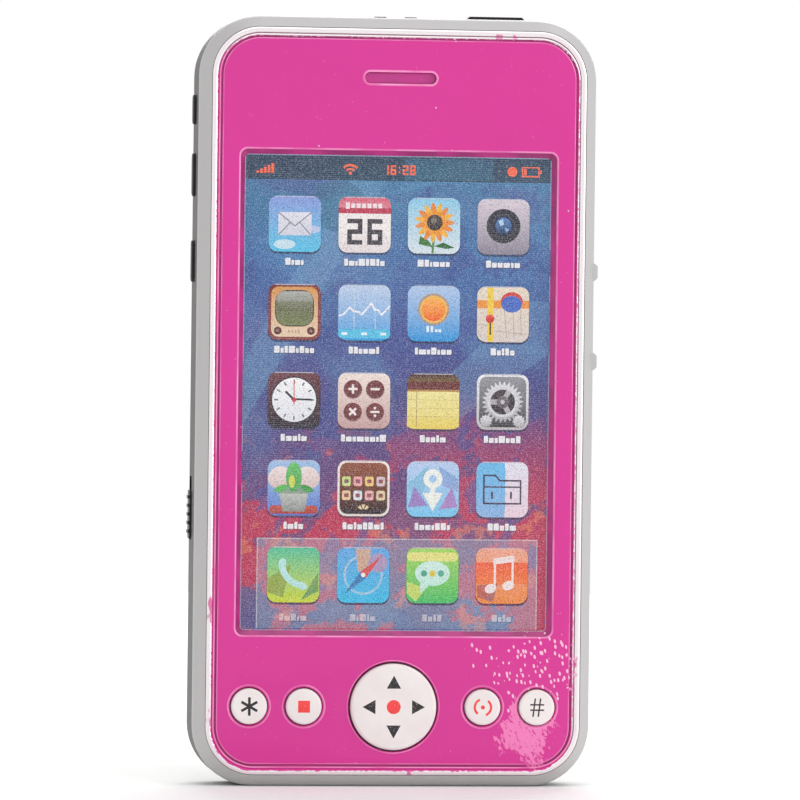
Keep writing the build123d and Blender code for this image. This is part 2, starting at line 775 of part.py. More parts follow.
def make_cell(x, cap_outwards):
    """One round cell, its can with the smaller cap on one face."""
    low = cell_foot + (0 if cap_outwards else cell_cap_rise)
    high = cell_top - (cell_cap_rise if cap_outwards else 0)
    can = fillet(rod(cell_radius, low, high, x, cell_height).edges(), cell_edge)
    cap = fillet(rod(cell_cap_radius, cell_foot, cell_top, x, cell_height).edges(), cell_cap_rise * 0.6)
    far = (high - 0.5, cell_top) if cap_outwards else (cell_foot, low + 0.5)
    return can + (cap & rod(cell_radius, *far, x, cell_height))


def make_door_bridge():
    """Strip on the door that joins the first two cells."""
    middle = (cell_places[0] + cell_places[1]) / 2
    return slab(cell_pitch + contact_width, contact_width,
                cell_top + touch, door_inner, 0.6, middle, cell_height)


def make_floor_bridge():
    """Strip on the floor under the last two cells, with a bump for each."""
    middle = (cell_places[1] + cell_places[2]) / 2
    strip = slab(cell_pitch + contact_width, contact_width, floor_top, floor_top + contact_thick,
                 0.6, middle, cell_height)
    bump_height = spring_room - contact_thick - touch
    for x in cell_places[1:]:
        strip += rod(1.0, floor_top + contact_thick, floor_top + contact_thick + bump_height, x, cell_height)
    return strip


def make_negative_contact():
    """Folded leaf under the first cell, with a tail through the floor."""
    x = cell_places[0]
    low, high = floor_top, cell_foot - touch
    low_z = contact_foot
    leaf = Polyline((x, low, low_z), (x, low, cell_height + 3.0), (x, high, cell_height - 1.0),
                    (x, high, cell_height - 1.6), (x, high - contact_thick, cell_height - 1.6),
                    (x, high - contact_thick, cell_height - 1.1), (x, low + contact_thick, cell_height + 1.6),
                    (x, low + contact_thick, low_z), close=True)
    strip = extrude(make_face(leaf), amount=contact_width / 2, both=True)
    tail = box(x - tail_width / 2, x + tail_width / 2, floor_front - tail_proud, low + contact_thick,
               low_z, low_z + contact_thick)
    return strip + tail


def make_positive_leaf():
    """Bowed leaf that presses on the side of the last cell, with a tail through the floor."""
    wall_x = pocket_width / 2
    cell_x = cell_places[-1] + cell_radius + touch
    z0, z1 = contact_foot, cell_height + pocket_height / 2 - contact_rise
    y0, y1 = cell_foot + 0.6, cell_foot + 0.6 + contact_width
    bow = ThreePointArc((wall_x - contact_thick, z0), (cell_x, cell_height), (wall_x - contact_thick, z1))
    line1 = Line((wall_x - contact_thick, z1), (wall_x, z1))
    bow2 = ThreePointArc((wall_x, z1), (cell_x + contact_thick, cell_height), (wall_x, z0))
    line2 = Line((wall_x, z0), (wall_x - contact_thick, z0))
    leaf = extrude(sketch_plane(y0) * make_face(Curve() + [bow, line1, bow2, line2]), amount=-(y1 - y0))
    tail_x = cell_places[-1]
    foot = box(tail_x - tail_width / 2, wall_x - 0.02, floor_top, floor_top + contact_thick, z0, z0 + 0.8)
    riser = box(wall_x - contact_thick - 0.02, wall_x - 0.02, floor_top, y0 + 0.3, z0, z0 + 0.8)
    tail = box(tail_x - tail_width / 2, tail_x + tail_width / 2,
               floor_front - tail_proud, floor_top + contact_thick,
               z0, z0 + contact_thick)
    return leaf + foot + riser + tail


# ---------------------------------------------------------------- speaker

def make_gasket():
    """Foam ring between the speaker and the rear cover."""
    return rod(speaker_radius, speaker_front, gasket_back, 0, speaker_height) - rod(
        speaker_cone_radius, speaker_front - 1, back, 0, speaker_height)


def make_speaker_frame():
    """Pressed steel basket of the speaker."""
    rim_foot = speaker_front - speaker_rim_thick
    frame = rod(speaker_radius, rim_foot, speaker_front, 0, speaker_height)
    frame += rod(speaker_basket_radius, rim_foot - speaker_basket_depth, rim_foot + 0.1, 0, speaker_height)
    frame -= rod(speaker_basket_radius - 0.5, rim_foot - speaker_basket_depth + 0.5, speaker_front - 0.4,
                 0, speaker_height)
    frame -= rod(speaker_cone_radius + 0.2, speaker_front - 0.5, speaker_front + 1, 0, speaker_height)
    for side in (-1, 1):
        frame += box(side * terminal_place - 0.9, side * terminal_place + 0.9, rim_foot - 0.5, rim_foot,
                     speaker_height - speaker_radius - 1.2 + 0.8,
                     speaker_height - speaker_basket_radius + 0.3)
    return frame


def make_speaker_magnet():
    """Round magnet behind the basket."""
    magnet_back = speaker_front - speaker_rim_thick - speaker_basket_depth
    magnet = rod(speaker_magnet_radius, magnet_back - speaker_magnet_thick, magnet_back, 0, speaker_height)
    return fillet(edges_at(magnet, magnet_back - speaker_magnet_thick), 0.3)


def make_speaker_cone():
    """Thin film cone with a dome in its middle."""
    film = rod(speaker_cone_radius, speaker_front - speaker_cone_thick,
               speaker_front - 0.02, 0, speaker_height)
    dome_ball = (speaker_dome_radius**2 + 0.64) / 1.6
    dome = Pos(0, speaker_front - 0.3 - (dome_ball - 0.8), speaker_height) * Sphere(dome_ball)
    return film + (dome & rod(speaker_dome_radius, speaker_front - 0.2, back, 0, speaker_height))


# ---------------------------------------------------------------- leads

def lead(points):
    """Insulated lead through the points: straight runs joined by arcs as large as the runs allow."""
    radii = []
    vectors = [Vector(*p) for p in points]
    for before, here, after in zip(vectors, vectors[1:], vectors[2:]):
        first, second = here - before, after - here
        turn = math.radians(first.get_angle(second))
        radii.append(0.45 * min(first.length, second.length) / math.tan(turn / 2))
    path = FilletPolyline(*points, radius=radii)
    section = Plane(origin=points[0], z_dir=path % 0) * Circle(lead_radius)
    return sweep(section, path=path)


def battery_lead(x, pad_x):
    """Lead from a contact's tail to the front of the board."""
    pad_y = board_front - lead_radius - touch
    return lead([
        (x, lead_y, contact_foot - touch),
        (x, lead_y, contact_foot - 3.5),
        (pad_x, pad_y, board_top - lead_pad_drop),
        (pad_x, pad_y, board_top - lead_pad_drop - lead_pad_length),
    ])


def speaker_lead(side):
    """Lead from the speaker's terminal past the battery compartment to the front of the board."""
    start_y = speaker_front - speaker_rim_thick - 0.5 - lead_radius - touch
    start_z = speaker_height - speaker_radius + 0.6
    pad_y = board_front - lead_radius - touch
    x, pad_x = side * terminal_place, side * speaker_pad_place
    return lead([
        (x, start_y, start_z),
        (x, start_y - 1.5, start_z - 3.6),
        (x, lead_y, start_z - 8.6),
        (x, lead_y, cell_height),
        (pad_x, lead_y + 0.2, board_top + 4.0),
        (pad_x, pad_y, board_top - lead_pad_drop - 0.5),
        (pad_x, pad_y, board_top - lead_pad_drop - lead_pad_length - 0.5),
    ])


# ---------------------------------------------------------------- writing the nodes

def main():
    os.makedirs("parts", exist_ok=True)
    save(make_front_case(), "front_case")
    save(make_faceplate(), "faceplate")
    save(make_card(), "picture_card")
    save(make_tape(), "card_tape")
    for name, x in small_keys.items():
        save(make_small_key(x), f"{name}_key")
        save(make_plunger(x), f"{name}_plunger")
        save(rod(pill_radius, pill_top, pill_foot, x, key_line), f"{name}_contact_pill")
    save(make_navigation_key(), "navigation_key")
    save(make_pad_plunger(), "navigation_plunger")
    save(rod(pad_pill_radius, pill_top, pill_foot, 0, key_line), "navigation_contact_pill")
    save(make_mat(), "keypad_mat")
    save(make_board(), "circuit_board")
    save(make_board_screws(), "board_screws")
    save(make_blob(), "chip_resin")
    save(make_resistors(), "resistors")
    save(make_capacitor(), "capacitor")
    save(make_leds(), "screen_leds")
    save(make_switch_body(), "switch_body")
    save(make_switch_lever(), "switch_lever")
    save(make_switch_knob(), "switch_knob")
    save(make_rear_cover(), "rear_cover")
    save(make_case_screws(), "case_screws")
    save(make_door(), "battery_door")
    save(make_door_screws(), "door_screws")
    save(make_door_bridge(), "door_contact")
    for i, x in enumerate(cell_places):
        save(make_cell(x, i % 2 == 1), f"button_cell_{i + 1}")
    save(make_floor_bridge(), "floor_contact")
    save(make_negative_contact(), "negative_contact")
    save(make_positive_leaf(), "positive_contact")
    save(make_gasket(), "speaker_gasket")
    save(make_speaker_frame(), "speaker_frame")
    save(make_speaker_magnet(), "speaker_magnet")
    save(make_speaker_cone(), "speaker_cone")
    save(battery_lead(cell_places[0], -battery_pad_place), "black_battery_lead")
    save(battery_lead(cell_places[-1], battery_pad_place), "red_battery_lead")
    save(speaker_lead(-1), "black_speaker_lead")
    save(speaker_lead(1), "red_speaker_lead")


main()
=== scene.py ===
"""Toy cell phone: its looks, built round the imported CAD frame.

Sizes here are in millimetres until a mesh is made.
"""

from __future__ import annotations

import json
import logging
import math
from collections.abc import Mapping, Sequence
from dataclasses import dataclass, field
from enum import Enum
from typing import Any

import bmesh
import bpy
import numpy as np
from mathutils import Euler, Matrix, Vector, geometry

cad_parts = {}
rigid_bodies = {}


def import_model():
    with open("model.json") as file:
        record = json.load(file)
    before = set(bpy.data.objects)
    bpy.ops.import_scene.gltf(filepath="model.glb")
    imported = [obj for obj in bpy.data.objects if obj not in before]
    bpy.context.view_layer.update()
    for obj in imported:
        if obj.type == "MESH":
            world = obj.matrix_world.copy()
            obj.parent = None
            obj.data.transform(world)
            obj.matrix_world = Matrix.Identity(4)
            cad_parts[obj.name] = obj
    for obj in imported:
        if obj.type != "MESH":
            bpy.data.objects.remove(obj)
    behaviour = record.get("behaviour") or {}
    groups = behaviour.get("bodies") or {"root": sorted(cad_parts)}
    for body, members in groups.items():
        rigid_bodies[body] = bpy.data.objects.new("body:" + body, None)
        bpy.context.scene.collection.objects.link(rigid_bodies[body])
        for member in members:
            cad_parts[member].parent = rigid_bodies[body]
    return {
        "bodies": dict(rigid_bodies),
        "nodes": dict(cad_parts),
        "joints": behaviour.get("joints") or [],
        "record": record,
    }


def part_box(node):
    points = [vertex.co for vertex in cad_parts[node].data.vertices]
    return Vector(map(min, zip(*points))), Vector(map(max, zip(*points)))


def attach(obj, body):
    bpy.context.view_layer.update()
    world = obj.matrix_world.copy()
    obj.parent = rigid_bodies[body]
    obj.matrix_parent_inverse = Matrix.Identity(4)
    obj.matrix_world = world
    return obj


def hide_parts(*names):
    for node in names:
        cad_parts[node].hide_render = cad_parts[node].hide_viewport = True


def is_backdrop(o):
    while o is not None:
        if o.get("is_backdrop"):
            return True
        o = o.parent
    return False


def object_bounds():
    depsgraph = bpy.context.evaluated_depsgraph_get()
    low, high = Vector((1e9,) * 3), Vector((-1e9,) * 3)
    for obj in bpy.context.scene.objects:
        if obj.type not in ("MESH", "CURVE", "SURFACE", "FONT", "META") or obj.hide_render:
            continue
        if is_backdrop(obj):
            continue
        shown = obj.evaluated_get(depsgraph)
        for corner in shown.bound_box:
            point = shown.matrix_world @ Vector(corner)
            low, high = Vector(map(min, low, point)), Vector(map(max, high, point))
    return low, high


LOG = logging.getLogger("toy_phone")
MM = 0.001
INK = "ink"

Loop = np.ndarray
Socket = bpy.types.NodeSocket


# ---------------------------------------------------------------------- places


@dataclass(frozen=True)
class Extent:
    """Box of a CAD node at rest, in millimetres."""

    low: np.ndarray
    high: np.ndarray

    @classmethod
    def of(cls, node: str) -> Extent:
        """Reads the box of one node from the frame."""
        low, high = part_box(node)
        return cls(np.array(low) / MM, np.array(high) / MM)

    @property
    def middle(self) -> np.ndarray:
        """Middle of the box."""
        return (self.low + self.high) / 2

    @property
    def size(self) -> np.ndarray:
        """Width, depth and height."""
        return self.high - self.low

    @property
    def face_middle(self) -> tuple[float, float]:
        """Middle as it is seen from the front: across and up."""
        return float(self.middle[0]), float(self.middle[2])


# ---------------------------------------------------------------------- inks


def linear(code: str) -> np.ndarray:
    """Turns a six-figure screen colour into linear light.

    Args:
        code: Colour as rrggbb.

    Returns:
        Three linear shares. Below 0.04045 a share is divided by 12.92, and above it follows a power of 2.4.
    """
    shares = np.array([int(code[i : i + 2], 16) for i in (0, 2, 4)]) / 255
    return np.where(shares <= 0.04045, shares / 12.92, ((shares + 0.055) / 1.055) ** 2.4)


@dataclass(frozen=True)
class Ink:
    """Printed colour, even or shaded from a shape's top to its foot, and how much it covers."""

    top: str
    foot: str = ""
    cover: float = 1.0

    def ends(self) -> tuple[np.ndarray, np.ndarray]:
        """Colour and cover at the shape's top and at its foot."""
        high = np.append(linear(self.top), self.cover)
        low = np.append(linear(self.foot or self.top), self.cover)
        return high, low


BARE = Ink("ffffff", cover=0.0)


@dataclass(frozen=True)
class Shape:
    """Flat outline with its ink. An outline without ink cuts a hole."""

    loop: Loop
    ink: Ink | None


# ---------------------------------------------------------------------- outlines


def rounded(
    width: float, height: float, radius: float, middle: Sequence[float] = (0, 0), steps: int = 8
) -> Loop:
    """Rounded rectangle, anticlockwise as seen from the front.

    Each corner is a quarter circle about a centre that lies inside the corner by the radius on both sides.

    Args:
        width: Overall width.
        height: Overall height.
        radius: Corner radius.
        middle: Place of its middle.
        steps: Straight steps in each corner.

    Returns:
        Points of the closed outline, one row each.
    """
    turns = np.linspace(0, np.pi / 2, steps + 1)[None, :] + np.arange(4)[:, None] * np.pi / 2
    corners = np.array([[1, 1], [-1, 1], [-1, -1], [1, -1]]) * (np.array([width, height]) / 2 - radius)
    arcs = corners[:, None, :] + radius * np.stack([np.cos(turns), np.sin(turns)], -1)
    return arcs.reshape(-1, 2) + np.asarray(middle, float)


def oval(
    across: float, up: float, middle: Sequence[float] = (0, 0), steps: int = 32, turn: float = 0.0
) -> Loop:
    """Ellipse with those half axes, turned anticlockwise by an angle in degrees."""
    t = np.arange(steps) * 2 * np.pi / steps
    points = np.stack([across * np.cos(t), up * np.sin(t)], -1)
    return turned(points, turn) + np.asarray(middle, float)


def turned(points: Loop, degrees: float) -> Loop:
    """Turns points anticlockwise about the origin."""
    c, s = math.cos(math.radians(degrees)), math.sin(math.radians(degrees))
    return points @ np.array([[c, s], [-s, c]])


def arc_band(inner: float, outer: float, start: float, end: float, middle: Sequence[float] = (0, 0)) -> Loop:
    """Part of a ring between two radii and two angles in degrees: the outer arc, and the inner arc back."""
    t = np.radians(np.linspace(start, end, 17))
    ring = np.stack([np.cos(t), np.sin(t)], -1)
    return np.concatenate([outer * ring, inner * ring[::-1]]) + np.asarray(middle, float)


def bar(start: Sequence[float], end: Sequence[float], width: float) -> Loop:
    """Straight stroke between two points, square at its ends and half its width longer at each."""
    a, b = np.asarray(start, float), np.asarray(end, float)
    along = (b - a) / np.linalg.norm(b - a) * width / 2
    side = np.array([-along[1], along[0]])
    return np.array([a - along - side, b + along - side, b + along + side, a - along + side])


# ---------------------------------------------------------------------- profiles


def bend(start: Sequence[float], end: Sequence[float], across_first: bool, steps: int = 6) -> np.ndarray:
    """Quarter ellipse between two profile points.

    Across first, the first size goes with the sine of the turn and the second with one less its cosine;
    otherwise the two are swapped.

    Args:
        start: First point: place and depth.
        end: Last point.
        across_first: Whether it sets off along the first size.
        steps: Straight steps.

    Returns:
        Profile points, one row each, both ends among them.
    """
    t = np.linspace(0, np.pi / 2, steps + 1)[:, None]
    quick, slow = np.sin(t), 1 - np.cos(t)
    share = np.hstack([quick, slow] if across_first else [slow, quick])
    return np.asarray(start, float) + share * (np.asarray(end, float) - np.asarray(start, float))


def bead(start: float, end: float, crown: float, height: float, steps: int = 10) -> np.ndarray:
    """Half-round bead: a half ellipse from one place to another whose top lies at the crown."""
    t = np.linspace(0, np.pi, steps + 1)
    middle, half = (start + end) / 2, (end - start) / 2
    return np.stack([middle - half * np.cos(t), crown + height * (1 - np.sin(t))], -1)


# ---------------------------------------------------------------------- shells


@dataclass
class Shell:
    """Gathers the surfaces of one closed piece and welds them into a mesh."""

    points: list[np.ndarray] = field(default_factory=list)
    faces: list[np.ndarray] = field(default_factory=list)
    inks: list[np.ndarray] = field(default_factory=list)
    count: int = 0

    def _add(self, points: np.ndarray, faces: np.ndarray, inks: np.ndarray) -> None:
        """Keeps one surface: its points, its faces and the ink at each corner of them."""
        self.points.append(points)
        self.faces.append(faces + self.count)
        self.inks.append(inks)
        self.count += len(points)

    def sweep(self, loops: np.ndarray, depths: np.ndarray, inks: Sequence[Ink] = (BARE,)) -> None:
        """Carries a profile round a closed path.

        The point of path step i and profile step j is the i-th point of loop j at depth j.

        Args:
            loops: Outlines of equal length, one for each step of the profile.
            depths: Depth of each outline.
            inks: Ink of each strip of the profile, of which the last goes on to the end.
        """
        rows, steps = loops.shape[:2]
        deep = np.broadcast_to(depths[:, None], (rows, steps))
        points = np.stack([loops[..., 0], deep, loops[..., 1]], -1).reshape(-1, 3)
        index = np.arange(rows * steps).reshape(rows, steps)
        after = np.roll(index, -1, axis=1)
        quads = np.stack([index[:-1], after[:-1], after[1:], index[1:]], -1).reshape(-1, 4)
        strips = np.minimum(np.arange(rows - 1), len(inks) - 1)
        tones = np.stack([ink.ends()[0] for ink in inks])[np.repeat(strips, steps)]
        self._add(points, quads, np.broadcast_to(tones[:, None], (len(quads), 4, 4)))

    def frame(
        self, stations: np.ndarray, middle: Sequence[float], steps: int = 8, inks: Sequence[Ink] = (BARE,)
    ) -> None:
        """Sweeps a profile round rounded rectangles; a station is width, height, corner radius and depth."""
        loops = np.stack([rounded(w, h, r, middle, steps) for w, h, r, _ in stations])
        self.sweep(loops, stations[:, 3], inks)

    def lathe(
        self, profile: np.ndarray, middle: Sequence[float], steps: int = 64, inks: Sequence[Ink] = (BARE,)
    ) -> None:
        """Sweeps a profile of radius and depth round circles."""
        loops = np.stack([oval(r, r, middle, steps) for r in profile[:, 0]])
        self.sweep(loops, profile[:, 1], inks)

    def flat(self, shapes: Sequence[Shape], depth: float) -> None:
        """Fills a plane with overlapping shapes, the later ones over the earlier ones.

        The plane is cut into triangles along every outline, and each triangle takes the ink of the last shape
        that it lies in. The ink at a corner follows the corner's height between the shape's foot and top.

        Args:
            shapes: Outlines from the lowest to the uppermost.
            depth: Depth of the plane.
        """
        given = np.concatenate([s.loop for s in shapes])
        ends = np.cumsum([len(s.loop) for s in shapes])
        rings = [list(range(e - len(s.loop), e)) for s, e in zip(shapes, ends)]
        found, _, faces, sources, _, owners = geometry.delaunay_2d_cdt(given.tolist(), [], rings, 0, 1e-6)
        flat = np.array(found, float).reshape(-1, 2)
        source = np.array([s[0] if s else -1 for s in sources])
        flat[source >= 0] = given[source[source >= 0]]
        owner = np.array([max(o, default=-1) for o in owners])
        inked = np.array([s.ink is not None for s in shapes] + [False])
        keep = inked[owner]
        faces, owner = np.array(faces)[keep], owner[keep]
        ends_of = np.array([(s.ink or BARE).ends() for s in shapes])
        low = np.array([s.loop[:, 1].min() for s in shapes])
        high = np.array([s.loop[:, 1].max() for s in shapes])
        share = (flat[faces][..., 1] - low[owner, None]) / (high - low)[owner, None]
        share = np.clip(share, 0, 1)[..., None]
        inks = ends_of[owner, 1][:, None] * (1 - share) + ends_of[owner, 0][:, None] * share
        used, place = np.unique(faces, return_inverse=True)
        points = np.stack([flat[used, 0], np.full(len(used), depth), flat[used, 1]], -1)
        self._add(points, place.reshape(faces.shape), inks)

    def build(self, name: str, sharp: float = 35.0) -> bpy.types.Object:
        """Welds equal points, turns all faces outwards and makes the object.

        Args:
            name: Name of the piece.
            sharp: Angle in degrees past which an edge stays sharp.

        Returns:
            The object, at the origin, in metres.
        """
        points = np.round(np.concatenate(self.points), 5)
        points, place = np.unique(points, axis=0, return_inverse=True)
        place = place.reshape(-1)
        mesh = bpy.data.meshes.new(name)
        mesh.from_pydata((points * MM).tolist(), [], [f for part in self.faces for f in place[part].tolist()])
        colours = np.concatenate([ink.reshape(-1, 4) for ink in self.inks]).astype(np.float32)
        mesh.attributes.new(INK, "FLOAT_COLOR", "CORNER").data.foreach_set("color", colours.ravel())
        work = bmesh.new()
        work.from_mesh(mesh)
        bmesh.ops.recalc_face_normals(work, faces=work.faces)
        work.to_mesh(mesh)
        work.free()
        mesh.shade_smooth()
        mesh.set_sharp_from_angle(angle=math.radians(sharp))
        made = bpy.data.objects.new(name, mesh)
        bpy.context.scene.collection.objects.link(made)
        return made


# ---------------------------------------------------------------------- shader graphs


class Graph:
    """Short way to place and join the nodes of one tree."""

    def __init__(self, tree: bpy.types.NodeTree) -> None:
        """Starts on an emptied tree."""
        self.tree = tree
        tree.nodes.clear()

    def node(self, kind: str, inputs: Mapping[Any, Any] | None = None, **settings: Any) -> bpy.types.Node:
        """Adds a node.

        Args:
            kind: Node type without the ShaderNode prefix, or Group and its relatives in full.
            inputs: Value or joined socket for each input, by name or index.
            settings: Properties of the node.

        Returns:
            The node.
        """
        made = self.tree.nodes.new(kind if kind.startswith("Node") else "ShaderNode" + kind)
        for name, value in settings.items():
            setattr(made, name, value)
        for key, value in (inputs or {}).items():
            if isinstance(value, bpy.types.NodeSocket):
                self.tree.links.new(value, made.inputs[key])
            else:
                made.inputs[key].default_value = value
        return made

    def math(self, operation: str, a: Any, b: Any = 0.0, clamp: bool = False) -> Socket:
        """Result of one sum on two values."""
        return self.node("Math", {0: a, 1: b}, operation=operation, use_clamp=clamp).outputs[0]

    def times(self, a: Any, b: Any) -> Socket:
        """Product of two values."""
        return self.math("MULTIPLY", a, b)

    def plus(self, a: Any, b: Any) -> Socket:
        """Sum of two values."""
        return self.math("ADD", a, b)

    def minus(self, a: Any, b: Any) -> Socket:
        """Difference of two values."""
        return self.math("SUBTRACT", a, b)

    def mix(self, share: Any, a: Any, b: Any, blend: str = "MIX") -> Socket:
        """Mixes two colours."""
        inputs = {0: share, 6: a, 7: b}
        return self.node("Mix", inputs, data_type="RGBA", blend_type=blend).outputs[2]

    def between(self, share: Any, a: Any, b: Any) -> Socket:
        """Mixes two values."""
        return self.node("Mix", {0: share, 2: a, 3: b}, data_type="FLOAT").outputs[0]

    def step(self, value: Any, low: float, high: float, start: float = 0.0, end: float = 1.0) -> Socket:
        """Smooth step of a value between two limits, from start to end."""
        inputs = {0: value, 1: low, 2: high, 3: start, 4: end}
        return self.node("MapRange", inputs, interpolation_type="SMOOTHSTEP").outputs[0]

    def place(self) -> Socket:
        """Object coordinates in metres."""
        return self.node("TexCoord").outputs["Object"]

    def stretched(self, vector: Socket, scale: Sequence[float], turn: Sequence[float] = (0, 0, 0)) -> Socket:
        """Coordinates turned, and then scaled along each axis."""
        rotated = self.node("Mapping", {"Vector": vector, "Rotation": turn})
        return self.node("Mapping", {"Vector": rotated.outputs[0], "Scale": scale}).outputs[0]

    def noise(self, vector: Socket, scale: Any, detail: float = 2.0, rough: float = 0.5) -> Socket:
        """Cloudy noise, about 0.5 on average."""
        inputs = {"Vector": vector, "Scale": scale, "Detail": detail, "Roughness": rough}
        return self.node("TexNoise", inputs).outputs[0]

    def ramp(self, value: Any, stops: Sequence[tuple[float, str]], hard: bool = False) -> Socket:
        """Colour ramp through screen colours."""
        made = self.node("ValToRGB", {0: value})
        made.color_ramp.interpolation = "CONSTANT" if hard else "LINEAR"
        elements = made.color_ramp.elements
        for i, (place, code) in enumerate(stops):
            element = elements[i] if i < 2 else elements.new(place)
            element.position = place
            element.color = (*linear(code), 1)
        return made.outputs[0]

    def group(self, effect: Effect, values: Mapping[str, Any]) -> bpy.types.Node:
        """Places a shared effect with its own values."""
        return self.node("Group", values, node_tree=effect.tree())

    def bump(
        self, height: Socket, depth: float, strength: float = 1.0, under: Socket | None = None
    ) -> Socket:
        """Normal of a height from 0 to 1, as deep as that many metres."""
        inputs = {"Height": height, "Distance": depth, "Strength": strength}
        if under is not None:
            inputs["Normal"] = under
        return self.node("Bump", inputs).outputs[0]

    def finish(self, **sockets: Any) -> None:
        """Joins the last shader to the output; names use underscores for spaces."""
        inputs = {name.replace("_", " "): value for name, value in sockets.items()}
        shader = self.node("BsdfPrincipled", inputs)
        self.node("OutputMaterial", {0: shader.outputs[0]})


class Effect(Enum):
    """Effects that several finishes share, each one a shader group."""

    GRAIN = "moulded grain"
    WEAR = "handling wear"
    OUTLINE = "distance to a rounded outline"
    STREAKS = "brushed streaks"

    def tree(self) -> bpy.types.NodeTree:
        """The group, built the first time that it is asked for."""
        return bpy.data.node_groups.get(self.value) or self._build()

    def _build(self) -> bpy.types.NodeTree:
        """Makes the group's sockets and nodes."""
        sockets = {
            Effect.GRAIN: (("Scale",), ("Height", "Tone")),
            Effect.WEAR: (("Scale", "Amount"), ("Scratches", "Dust")),
            Effect.OUTLINE: (("Across", "Up", "Half Width", "Half Height", "Radius"), ("Distance",)),
            Effect.STREAKS: (("Along X", "Along Y", "Along Z"), ("Height", "Tone")),
        }[self]
        tree = bpy.data.node_groups.new(self.value, "ShaderNodeTree")
        for name in sockets[0]:
            tree.interface.new_socket(name=name, in_out="INPUT", socket_type="NodeSocketFloat")
        for name in sockets[1]:
            tree.interface.new_socket(name=name, in_out="OUTPUT", socket_type="NodeSocketFloat")
        graph = Graph(tree)
        inputs = graph.node("NodeGroupInput").outputs
        wire = {
            Effect.GRAIN: self._grain,
            Effect.WEAR: self._wear,
            Effect.OUTLINE: self._outline,
            Effect.STREAKS: self._streaks,
        }[self]
        graph.node("NodeGroupOutput", wire(graph, inputs))
        return tree

    @staticmethod
    def _grain(graph: Graph, inputs: Any) -> dict[str, Socket]:
        """Fine spark-eroded grain: noise at the scale, and a tone that wanders over a twentieth of it."""
        place = graph.place()
        fine = graph.noise(place, inputs["Scale"], 3, 0.6)
        coarse = graph.noise(place, graph.times(inputs["Scale"], 0.05), 3, 0.55)
        return {"Height": fine, "Tone": graph.step(coarse, 0.3, 0.7)}

    @staticmethod
    def _wear(graph: Graph, inputs: Any) -> dict[str, Socket]:
        """Hairline scratches, which are thin level lines of a stretched noise, and specks of dust."""
        place = graph.place()
        lines = graph.noise(graph.stretched(place, (1, 1, 0.12), (0, 0.5, 0)), inputs["Scale"], 1, 0.4)
        thin = graph.step(graph.math("ABSOLUTE", graph.minus(lines, 0.5)), 0.0, 0.006, 1, 0)
        patches = graph.noise(place, graph.times(inputs["Scale"], 0.35), 2)
        some = graph.step(patches, 0.55, 0.7)
        scratches = graph.times(graph.times(thin, some), inputs["Amount"])
        specks = graph.node("TexVoronoi", {"Vector": place, "Scale": graph.times(inputs["Scale"], 1.6)})
        small = graph.step(specks.outputs["Distance"], 0.02, 0.09, 1, 0)
        chosen = graph.step(graph.noise(place, graph.times(inputs["Scale"], 0.8), 1), 0.62, 0.66)
        dust = graph.times(graph.times(small, chosen), inputs["Amount"])
        return {"Scratches": scratches, "Dust": dust}

    @staticmethod
    def _outline(graph: Graph, inputs: Any) -> dict[str, Socket]:
        """Distance outside a rounded rectangle: length past its inner corner, less the radius."""
        past = []
        for name, half in (("Across", "Half Width"), ("Up", "Half Height")):
            inner = graph.minus(inputs[half], inputs["Radius"])
            past.append(graph.minus(graph.math("ABSOLUTE", inputs[name]), inner))
        squares = [graph.math("POWER", graph.math("MAXIMUM", p, 0.0), 2.0) for p in past]
        reach = graph.math("SQRT", graph.plus(*squares))
        inside = graph.math("MINIMUM", graph.math("MAXIMUM", *past), 0.0)
        return {"Distance": graph.minus(graph.plus(reach, inside), inputs["Radius"])}

    @staticmethod
    def _streaks(graph: Graph, inputs: Any) -> dict[str, Socket]:
        """Brushed lines: noise scaled apart along the three axes, and broad stains."""
        place = graph.place()
        scale = graph.node("CombineXYZ", {0: inputs["Along X"], 1: inputs["Along Y"], 2: inputs["Along Z"]})
        scaled = graph.node("VectorMath", {0: place, 1: scale.outputs[0]}, operation="MULTIPLY")
        lines = graph.noise(scaled.outputs[0], 1.0, 3, 0.6)
        return {"Height": lines, "Tone": graph.step(graph.noise(place, 260.0, 3), 0.35, 0.7)}


# ---------------------------------------------------------------------- finishes


def lit(code: str) -> tuple[float, float, float, float]:
    """Screen colour as a socket's value."""
    return (*(float(v) for v in linear(code)), 1.0)


@dataclass(frozen=True)
class Finish:
    """What every finish has: a name and a way to wire its material."""

    name: str

    def material(self) -> bpy.types.Material:
        """The material, made the first time that it is asked for."""
        made = bpy.data.materials.get(self.name)
        if made is None:
            made = bpy.data.materials.new(self.name)
            made.use_nodes = True
            self.wire(Graph(made.node_tree))
        return made

    def wire(self, graph: Graph) -> None:
        """Wires the material's nodes."""
        raise NotImplementedError


